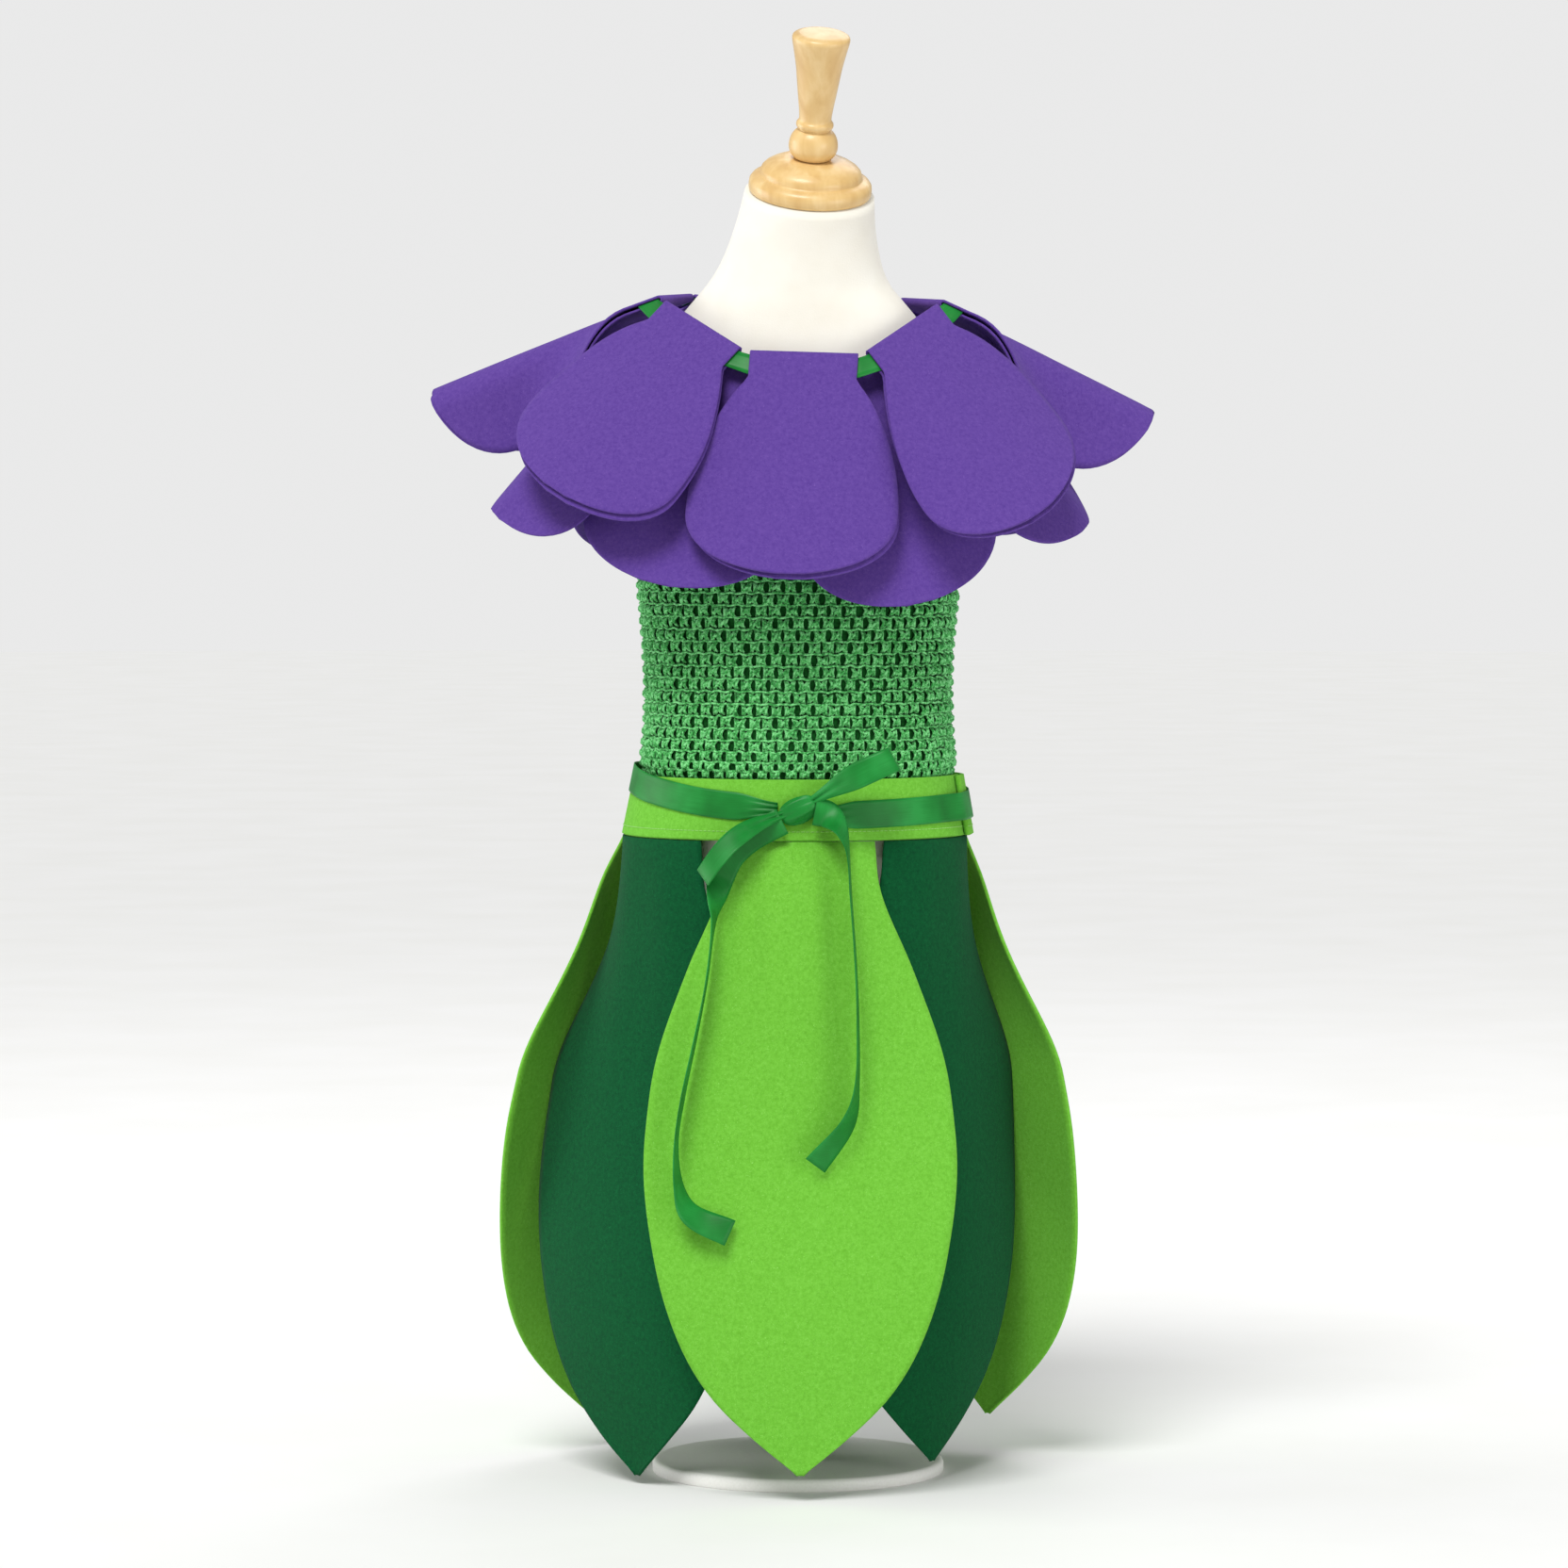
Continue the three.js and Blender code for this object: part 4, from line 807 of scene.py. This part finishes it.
def ellipse_turn(shape, arc):
    """The turn from the middle of the front to a place so many millimetres along an ellipse."""
    grid = np.linspace(0, 2 * math.pi, 4001)
    speed = np.hypot(shape["half_width"] * np.cos(grid), shape["half_depth"] * np.sin(grid))
    walked = np.concatenate([[0], np.cumsum((speed[1:] + speed[:-1]) / 2 * np.diff(grid))])
    return np.sign(arc) * np.interp(np.abs(arc), walked, grid)


def ellipse_point(shape, turn):
    return np.stack([shape["x"] + shape["half_width"] * np.sin(turn),
                     shape["y"] - shape["half_depth"] * np.cos(turn)], axis=-1)


def leaf_point(leaf, across, along):
    """A leaf's middle surface: it follows the band at the top and hangs in its own plane lower down."""
    sideways = (2 * across - 1) * read_rows(LEAF_OUTLINE, "half_width", along)
    on_band = ellipse_point(LEAF_TOP, ellipse_turn(LEAF_TOP, leaf["arc"] + sideways))
    turn = float(ellipse_turn(LEAF_TOP, leaf["arc"]))
    centre = ellipse_point(LEAF_TOP, turn)
    outward = np.array([math.sin(turn) / LEAF_TOP["half_width"], -math.cos(turn) / LEAF_TOP["half_depth"]])
    outward /= np.linalg.norm(outward)
    yaw = math.radians(leaf["turn"])
    outward = np.array([outward[0] * math.cos(yaw) - outward[1] * math.sin(yaw),
                        outward[0] * math.sin(yaw) + outward[1] * math.cos(yaw)])
    tangent = np.array([-outward[1], outward[0]])
    hanging = (centre + sideways[..., None] * tangent
               - (sideways ** 2 / (2 * leaf["bend"]))[..., None] * outward)
    spread = leaf["spread"] * read_rows(LEAF_SPREAD, leaf["layer"], along)
    for place, depth, width, reach in leaf["folds"]:
        centre_line = place * (1 + FOLD_FANNING * along)
        fade = smooth_step(0.0, 0.07, along) * (1 - smooth_step(0.25 * reach, reach, along))
        spread = spread + depth * fade * np.exp(-((sideways - centre_line) / (width * (1 + along))) ** 2)
    edge = np.abs(2 * across - 1) ** 3
    wave = np.sin(along * 13 + leaf["arc"] * 0.05) * smooth_step(0.3, 0.6, along)
    spread = spread + LEAF_FLUTTER * edge * wave
    flattened = smooth_step(0, 0.4, along)[..., None]
    plan = on_band + (hanging - on_band) * flattened + spread[..., None] * outward
    plan = plan + (leaf["lean"] * along)[..., None] * tangent
    return np.concatenate([plan, (LEAF_TOP_Z - leaf["drop"] * along)[..., None]], axis=-1)


leaf_rows = np.concatenate([np.linspace(0, 0.9, 56), np.linspace(0.9, 1, 14)[1:]])
for leaf in LEAVES:
    felt, slot = (lime_felt, "lime_felt") if leaf["layer"] == "outer" else (dark_felt, "dark_green_felt")
    piece = wall_piece("felt_leaf_" + leaf["name"], lambda a, b, leaf=leaf: leaf_point(leaf, a, b), 40,
                       leaf_rows, FELT_LEAF, felt)
    plain_cloth(piece, ["leaf_" + leaf["name"]])

# Collar: seven folded double petals over seven single ones, cut from purple craft felt and strung on
# a satin ribbon. The side petals fold over the shoulders along their middle and hang in front and behind.
purple_felt = craft_felt("purple_craft_felt", "#54398B", "#5D4193", "#66499B", "#7558A7")
FELT_PETAL = 1.6
FOLD_GAP = 3.6
# half widths at the fold, the widest place and the tip, and the share of the length where it is widest
PETAL_TOP, PETAL_WIDE, PETAL_WIDE_AT, PETAL_TIP = 32.5, 64.0, 0.7, 9.0
CURL_START = 0.12
PETAL_FLUTTER = 0.7
# the ellipse that the neck ribbon follows, and its height at each turn in degrees
LOOP = {"x": 1, "y": 4, "half_width": 88.5, "half_depth": 66}
LOOP_HEIGHTS = table("at height", [
    (-180, 718), (-135, 724), (-92, 726), (-75, 722), (-50, 706), (-26, 690), (0, 687),
    (26, 687), (50, 702), (75, 718), (92, 722), (135, 722), (180, 718),
])
# arc is the petal's middle along the ribbon. slope, swing and curl are in degrees: down from level, to one
# side, and round its middle line, with the radius ridge. droop and inward are in millimetres.
PETALS = table("name arc length slope swing droop curl ridge inward", [
    ("upper_front", 2.5, 147, 62.7, -3, 2, 18.3, 200, 0),
    ("upper_front_left", -68, 144, 44, 6, 4, 18, 200, 0),
    ("upper_front_right", 73, 148, 47, -12, 4, 16, 220, 0),
    ("upper_left", -137.4, 162, 19.2, 5, 4, 84, 16.5, 0),
    ("upper_right", 142, 162, 23, -5, 4, 82, 15, 0),
    ("upper_back_left", -207, 148, 17, 8, 16, 20, 150, 0),
    ("upper_back_right", 211.5, 148, 21, -8, 16, 20, 150, 0),
    ("lower_front_left", -33, 154, 65.1, -2.7, 0, 16, 200, 7.1),
    ("lower_front_right", 37, 155, 70, -3, 0, 26.2, 200, 8.4),
    ("lower_side_left", -105.7, 158, 41.5, 13, 3, 20.5, 17.9, 9.5),
    ("lower_side_right", 106.3, 154, 51, -3.2, 3, 16.7, 59.8, 8.2),
    ("lower_rear_left", -172.2, 154, 62.1, 0, 3, 8.1, 64, 15.1),
    ("lower_rear_right", 173.8, 154, 53.6, -2, 3, 24.3, 119.8, 13.7),
    ("lower_back", 244, 154, 55, 0, 0, 14, 200, 8),
])
# soft creases in each petal: place across, depth, half width, and the shares of the length where each
# starts and ends
CREASES = {
    "upper_front": [(-6, 1.1, 9, 0.1, 0.62), (17, -0.8, 8, 0.2, 0.8)],
    "upper_front_left": [(-12, 1.2, 9, 0.08, 0.7), (13, -0.7, 10, 0.3, 0.9)],
    "upper_front_right": [(4, 1.0, 8, 0.06, 0.55), (-16, 0.8, 9, 0.25, 0.85)],
    "upper_left": [(9, 0.7, 9, 0.1, 0.6)],
    "upper_right": [(-8, 0.8, 8, 0.12, 0.66)],
    "upper_back_left": [(-9, 1.0, 10, 0.1, 0.7), (14, -0.7, 8, 0.25, 0.8)],
    "upper_back_right": [(7, 1.1, 9, 0.08, 0.6), (-15, 0.7, 10, 0.3, 0.85)],
    "lower_front_left": [(-10, 0.7, 9, 0.35, 0.9)],
    "lower_front_right": [(12, 0.8, 10, 0.3, 0.88)],
    "lower_side_left": [(6, 0.7, 8, 0.3, 0.85)],
    "lower_side_right": [(-7, 0.7, 9, 0.32, 0.9)],
    "lower_rear_left": [(-11, 0.8, 9, 0.25, 0.85)],
    "lower_rear_right": [(9, 0.7, 10, 0.3, 0.9)],
    "lower_back": [(-13, 0.9, 9, 0.2, 0.8), (12, 0.7, 8, 0.35, 0.9)],
}


def loop_point(arc):
    turn = float(ellipse_turn(LOOP, arc))
    plan = ellipse_point(LOOP, turn)
    return np.array([plan[0], plan[1], float(read_rows(LOOP_HEIGHTS, "height", math.degrees(turn)))])


def petal_frame(petal):
    """Where a petal's top lies on the ribbon, and the lines along its width, its fall and its face."""
    start = loop_point(petal["arc"] - PETAL_TOP)
    end = loop_point(petal["arc"] + PETAL_TOP)
    sideways = (end - start) / np.linalg.norm(end - start)
    level = np.array([sideways[1], -sideways[0], 0])
    level /= np.linalg.norm(level)
    upright = np.cross(level, sideways)
    upright = upright if upright[2] > 0 else -upright
    slope, swing = math.radians(petal["slope"]), math.radians(petal["swing"])
    straight = level * math.cos(slope) - upright * math.sin(slope)
    facing = level * math.sin(slope) + upright * math.cos(slope)
    hanging = straight * math.cos(swing) + np.cross(facing, straight) * math.sin(swing)
    middle = (start + end) / 2 + petal["inward"] * (straight - facing)
    return middle, sideways, straight, hanging, facing


def petal_half_width(along):
    """The cut: straight sides that open from the fold, and a round tip."""
    opened = np.clip((along - CURL_START) / (PETAL_WIDE_AT - CURL_START), 0, 1) ** 0.85
    widening = PETAL_TOP + (PETAL_WIDE - PETAL_TOP) * np.sin(opened * math.pi / 2)
    past = np.clip((along - PETAL_WIDE_AT) / (1 - PETAL_WIDE_AT), 0, 1)
    closing = np.maximum(PETAL_WIDE * np.sqrt(1 - past ** 2), PETAL_TIP)
    return np.where(along < PETAL_WIDE_AT, widening, closing)


def petal_point(petal, across, along, offset):
    """One leaf of a petal, moved out from its middle surface by the offset."""
    middle, sideways_line, _, hanging, facing = petal["frame"]
    sideways = (2 * across - 1) * petal_half_width(along)
    limit = math.radians(petal["curl"]) * smooth_step(CURL_START, 0.7, along)
    angle = np.minimum(np.abs(sideways) / petal["ridge"], limit)
    straight_part = np.abs(sideways) - petal["ridge"] * angle
    reach = petal["ridge"] * np.sin(angle) + straight_part * np.cos(angle)
    fall = petal["ridge"] * (1 - np.cos(angle)) + straight_part * np.sin(angle)
    side = np.sign(sideways)
    wave = np.sin(along * 11 + petal["arc"]) * smooth_step(0.3, 0.6, along)
    flutter = PETAL_FLUTTER * np.abs(2 * across - 1) ** 3 * wave
    lift = offset * np.cos(angle) - fall - petal["droop"] * along ** 2 + flutter
    for place, depth, width, start, end in CREASES[petal["name"]]:
        fade = smooth_step(start, start + 0.2, along) * (1 - smooth_step(end - 0.3, end, along))
        from_line = (sideways - place * (1 + along)) / (width * (1 + 0.5 * along))
        lift = lift + depth * fade * np.exp(-from_line ** 2)
    return (middle + (side * (reach + offset * np.sin(angle)))[..., None] * sideways_line
            + (along * petal["length"])[..., None] * hanging + lift[..., None] * facing)


FOLD_SHARE = 0.02
UNDER_LEAF_SHIFT = 2.2
UNDER_LEAF_DROP = 1.8


def folded_petal_point(petal, across, along):
    """The whole cut of an upper petal: its under leaf, the fold over the ribbon, and its upper leaf."""
    signed = 2 * along - 1
    reach = np.abs(signed)
    round_fold = np.clip(signed / FOLD_SHARE, -1, 1) * math.pi / 2
    leaf_share = np.clip((reach - FOLD_SHARE) / (1 - FOLD_SHARE), 0, 1)
    flat = petal_point(petal, across, leaf_share, np.sin(round_fold) * FOLD_GAP / 2)
    rise = np.where(reach < FOLD_SHARE, np.cos(round_fold) * FOLD_GAP / 2, 0)
    under = np.where(signed < 0, smooth_step(CURL_START, 0.8, leaf_share), 0)
    flat = flat + (under * UNDER_LEAF_SHIFT)[..., None] * petal["frame"][1]
    return flat + (under * UNDER_LEAF_DROP - rise)[..., None] * petal["frame"][3]


petal_shares = np.concatenate([np.linspace(0, 0.9, 34), np.linspace(0.9, 1, 12)[1:]])
folded_shares = FOLD_SHARE + petal_shares * (1 - FOLD_SHARE)
fold_turns = FOLD_SHARE * np.sin(np.linspace(-1, 1, 7)[1:-1] * math.pi / 2)
folded_rows = (np.concatenate([-folded_shares[::-1], fold_turns, folded_shares]) + 1) / 2
for petal in PETALS:
    petal["frame"] = petal_frame(petal)
    name = "felt_petal_" + petal["name"]
    if petal["name"].startswith("upper"):
        piece = wall_piece(name, lambda a, b, petal=petal: folded_petal_point(petal, a, b), 32, folded_rows,
                           FELT_PETAL, purple_felt)
    else:
        piece = wall_piece(name, lambda a, b, petal=petal: petal_point(petal, a, b, 0 * b), 32, petal_shares,
                           FELT_PETAL, purple_felt)
    plain_cloth(piece, ["petal_" + petal["name"]])


# Ribbons: two lengths of green satin ribbon with woven edges. The narrow one runs through the collar's
# folds. The belt goes round the waistband and ties in front in a small bow with two long tails.
SATIN_WALL = 0.6
RIBBON_WIDTH = 16.5
NECK_RIBBON_WIDTH = 13.5

# Polyester satin: long threads that float along the ribbon give it a soft gloss with fine streaks. They
# are far too fine to show and are drawn about 0.6 mm wide.
satin, satin_tree, satin_shader = new_material(
    "green_satin_ribbon", {"Roughness": 0.4, "Specular IOR Level": 0.22, "Anisotropic": 0.5, "IOR": 1.5})
satin_coords = add_node(satin_tree, "ShaderNodeTexCoord")
satin_stretch = add_node(satin_tree, "ShaderNodeMapping", {"Scale": (marks(16.7), marks(0.556), 1.0)},
                         {"Vector": (satin_coords, "UV")})
satin_threads = add_node(satin_tree, "ShaderNodeTexNoise", {"Scale": 1.0, "Detail": 3.0},
                         {"Vector": (satin_stretch, "Vector")})
satin_cloud = add_node(satin_tree, "ShaderNodeTexNoise", {"Scale": marks(25), "Detail": 2.0},
                       {"Vector": (satin_coords, "Object")})
satin_mix = add_node(satin_tree, "ShaderNodeMath", {"operation": "MULTIPLY_ADD", 1: 0.35},
                     {0: (satin_threads, "Fac"), 2: (satin_cloud, "Fac")})
satin_tone = set_ramp(add_node(satin_tree, "ShaderNodeValToRGB", None, {"Fac": (satin_mix, "Value")}),
                      [(0.45, "#126C26"), (0.68, "#187D2F"), (0.9, "#238E3C")])
satin_bump = add_node(satin_tree, "ShaderNodeBump", {"Strength": 0.1, "Distance": 0.0002},
                      {"Height": (satin_threads, "Fac")})
satin_tree.links.new(satin_tone.outputs["Color"], satin_shader.inputs["Base Color"])
satin_tree.links.new(satin_bump.outputs["Normal"], satin_shader.inputs["Normal"])

# the ribbon's edge stands at both ends of each upper petal's fold, a little below it
PAST_FOLD_END, BELOW_FOLD = 0.8, 0.2
ribbon_marks = []
for petal in sorted((p for p in PETALS if p["name"].startswith("upper")), key=lambda p: p["arc"]):
    middle, sideways_line, straight, _, _ = petal["frame"]
    for end in (-1, 1):
        beside_fold = middle + sideways_line * end * (PETAL_TOP + PAST_FOLD_END)
        ribbon_marks.append((beside_fold + straight * BELOW_FOLD, straight))
mark_tops = np.array([mark[0] for mark in ribbon_marks])
mark_downs = np.array([mark[1] for mark in ribbon_marks])


def neck_ribbon_point(across, along):
    place = (across % 1) * len(ribbon_marks)
    first = np.floor(place).astype(int) % len(ribbon_marks)
    second = (first + 1) % len(ribbon_marks)
    share = (place - np.floor(place))[..., None]
    drop = (along * NECK_RIBBON_WIDTH)[..., None]
    start = mark_tops[first] + mark_downs[first] * drop
    end = mark_tops[second] + mark_downs[second] * drop
    return start + (end - start) * share


neck_ribbon = wall_piece("neck_satin_ribbon", neck_ribbon_point, len(ribbon_marks) * 6, np.linspace(0, 1, 5),
                         SATIN_WALL, satin, looped=True)
plain_cloth(neck_ribbon, ["neck_ribbon"])

# Belt ribbon: it starts and ends at the knot, in degrees from the middle of the front, where it is
# pinched into pleats. It climbs to the back and steps out over the waistband's lapped end.
KNOT_START = 6
PINCH_REACH, PINCHED_BY, PLEAT_DEPTH = 16, 0.52, 0.6
BELT_CLEAR, OVER_LAP_CLEAR = 0.6, 0.5
BELT_HEIGHTS = table("at height", [
    (6, 409.5), (45, 411.5), (90, 414), (135, 419), (180, 423), (225, 427), (270, 430), (300, 424),
    (330, 417), (354, 414),
])


def belt_point(across, along):
    degrees = KNOT_START + (360 - 2 * KNOT_START) * across
    from_knot = np.minimum(degrees - KNOT_START, 360 - KNOT_START - degrees)
    near_knot = 1 - smooth_step(0, PINCH_REACH, from_knot)
    width = RIBBON_WIDTH * (1 - PINCHED_BY * near_knot)
    height = read_rows(BELT_HEIGHTS, "height", degrees) + (along - 0.5) * width
    over_lap = smooth_step(60, 73, degrees) * (1 - smooth_step(98, 118, degrees))
    stand_off = SEAM_GAP + BELT_CLEAR + (BAND_LAP_STEP + OVER_LAP_CLEAR) * over_lap
    pleat = PLEAT_DEPTH * near_knot * (1 + np.cos(along * 6 * math.pi))
    return band_point(np.radians(degrees), height, stand_off + pleat)


belt_ribbon = wall_piece("belt_satin_ribbon", belt_point, 300, np.linspace(0, 1, 13), SATIN_WALL, satin)
plain_cloth(belt_ribbon, ["belt_ribbon"])

# Knot: the ribbon pulled tight round itself, so it bunches into soft lengthwise pleats and slants up
# to the bow's right loop. Both loops and both tails come out of its ends.
KNOT_MIDDLE = np.array([0.0, -84.2, 413.6])
KNOT_LENGTH = 23
KNOT_HALF_DEPTH, KNOT_HALF_HEIGHT = 4.0, 7.6
KNOT_SLANT = math.radians(-26)
knot_rings = []
for share in np.linspace(0, 1, 25):
    along_knot = (share - 0.5) * KNOT_LENGTH
    swell = math.sqrt(max(1 - (2 * share - 1) ** 2, 0.02)) ** 0.6
    ring = []
    for a in np.linspace(0, 2 * math.pi, 48, endpoint=False):
        pleat = 1 + 0.09 * math.cos(5 * a + 2.2 * share) + 0.04 * math.cos(11 * a - 3 * share)
        ring.append((along_knot, KNOT_HALF_DEPTH * swell * pleat * math.cos(a),
                     KNOT_HALF_HEIGHT * swell * pleat * math.sin(a)))
    knot_rings.append(ring)
knot_turn = Matrix.Rotation(KNOT_SLANT, 3, "Y")
knot_rings = [[KNOT_MIDDLE + np.array(knot_turn @ Vector(p)) for p in ring] for ring in knot_rings]
knot = closed_loft("bow_knot", knot_rings, satin)
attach(knot, "root")
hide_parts("belt_knot")

# Bow loops: the ribbon goes out to one side and comes back, pinched and pleated at the knot and opened to
# its full width at the far end. Each is twisted, so one shows its face and the other its edge.
LOOP_WIDTH = 15.5
ROOT_SHARE = 0.34
LOOP_PLEAT = 0.8
BEFORE_KNOT = 1.2
# angle and tilt in degrees. start is x and height, ahead is how far the loop stands before the knot, and
# forward is how much further it comes with each millimetre of its length
BOW_LOOPS = [
    {"name": "right", "angle": 28, "length": 58, "depth": 13, "forward": 0.08, "start": (9, 418),
     "tilt": 14, "bow": 1.5, "far_width": 1.0, "ahead": 2.5},
    {"name": "left", "angle": 216, "length": 64, "depth": 12, "forward": 0.15, "start": (-8, 412),
     "tilt": -38, "bow": -7.5, "far_width": 0.92, "ahead": 5.5},
]


def bow_loop_point(loop, across, along):
    angle = math.radians(loop["angle"])
    reach_line = np.array([math.cos(angle), 0, math.sin(angle)])
    width_line = np.array([-math.sin(angle), 0, math.cos(angle)])
    turn = (0.02 + 0.96 * across) * 2 * math.pi
    reach = loop["length"] * (1 - np.cos(turn)) / 2
    opened = smooth_step(0, 0.62, reach / loop["length"])
    fullness = loop["depth"] / 2 * np.sin(turn) * (1 - np.cos(turn)) / 1.3
    front = (KNOT_MIDDLE[1] - BEFORE_KNOT - (loop["ahead"] + loop["depth"] / 2) * opened
             - reach * loop["forward"])
    side = (along - 0.5) * LOOP_WIDTH * (ROOT_SHARE + (loop["far_width"] - ROOT_SHARE) * opened)
    pleat = LOOP_PLEAT * (1 - opened) * np.cos(along * 4 * math.pi)
    twist = math.radians(loop["tilt"]) * opened
    depth = front - fullness + pleat + side * np.sin(twist)
    plan = np.array([loop["start"][0] * 0.7, 0, loop["start"][1]])
    bowed = loop["bow"] * np.sin(np.pi * reach / loop["length"])
    plan = plan + reach[..., None] * reach_line + (side * np.cos(twist) + bowed)[..., None] * width_line
    plan[..., 1] = depth
    return plan


for loop in BOW_LOOPS:
    piece = wall_piece("bow_loop_of_ribbon_" + loop["name"],
                       lambda a, b, loop=loop: bow_loop_point(loop, a, b), 90,
                       np.linspace(0, 1, 13), SATIN_WALL, satin)
    plain_cloth(piece, ["bow_loop_" + loop["name"]])

# Tails: the ribbon's two free ends. Each comes down from the knot, turns edge-on to the front and hangs
# clear of the front leaf, and its cut end curls round to show its face.
TAIL_CLEAR = 0.9
BELT_FRONT = -84
# facing is 0 where the ribbon is edge-on to the front and 90 where it shows its face, and clear is how
# far it hangs before the leaf
TAILS = {
    "left": table("at x height facing clear", [
        (0, -9.8, 407, 84, 0.8), (0.06, -27, 398, 84, 1.4), (0.12, -40, 387, 84, 3.4),
        (0.17, -46.5, 374, 78, 4.8), (0.21, -49, 362, 45, 4.8), (0.26, -50.8, 348, 10, 4),
        (0.36, -55, 313, 4, 4), (0.48, -61.4, 280, 6, 4), (0.61, -69.3, 243, 8, 4), (0.73, -73.2, 215, 8, 4),
        (0.83, -71.5, 190, 20, 4), (0.91, -64, 174, 48, 4), (1, -41, 163, 75, 4)]),
    "right": table("at x height facing clear", [
        (0, 9.9, 413, 84, 0.8), (0.06, 18, 411, 74, 1), (0.12, 25, 404, 34, 2.5), (0.18, 29.4, 391, 8, 4),
        (0.3, 31.4, 364, 4, 4), (0.48, 34.2, 325, 4, 4), (0.62, 35.6, 290, 5, 4), (0.78, 35, 251, 10, 4),
        (0.9, 29, 227, 35, 4), (1, 10, 203, 62, 4)]),
}


def front_leaf_depth(x, height):
    """How far forward the front leaf's middle surface lies behind a place, its folds left out."""
    front = dict(LEAVES[0], folds=[])
    along = np.clip((LEAF_TOP_Z - height) / front["drop"], 0, 0.97)
    half_width = read_rows(LEAF_OUTLINE, "half_width", along)
    across = np.clip(0.5 + (x - front["arc"]) / (2 * half_width), 0, 1)
    return leaf_point(front, across, along)[..., 1]


def tail_point(rows, across, along):
    x, height = read_rows(rows, "x", along), read_rows(rows, "height", along)
    facing = np.radians(read_rows(rows, "facing", along))
    ahead, before = np.minimum(along + 0.01, 1), np.maximum(along - 0.01, 0)
    run_x = read_rows(rows, "x", ahead) - read_rows(rows, "x", before)
    run_z = read_rows(rows, "height", ahead) - read_rows(rows, "height", before)
    size = np.hypot(run_x, run_z)
    behind = np.minimum(front_leaf_depth(x, height), BELT_FRONT)
    clear = TAIL_CLEAR + read_rows(rows, "clear", along)
    middle = behind - FELT_LEAF / 2 - clear - RIBBON_WIDTH / 2 * np.cos(facing)
    side = (across - 0.5) * RIBBON_WIDTH
    return np.stack([x - run_z / size * side * np.sin(facing), middle + side * np.cos(facing),
                     height + run_x / size * side * np.sin(facing)], axis=-1)


for tail_name, tail_rows in TAILS.items():
    piece = wall_piece("ribbon_tail_" + tail_name, lambda a, b, rows=tail_rows: tail_point(rows, a, b), 8,
                       np.linspace(0, 1, 110), SATIN_WALL, satin)
    plain_cloth(piece, ["tail_" + tail_name])
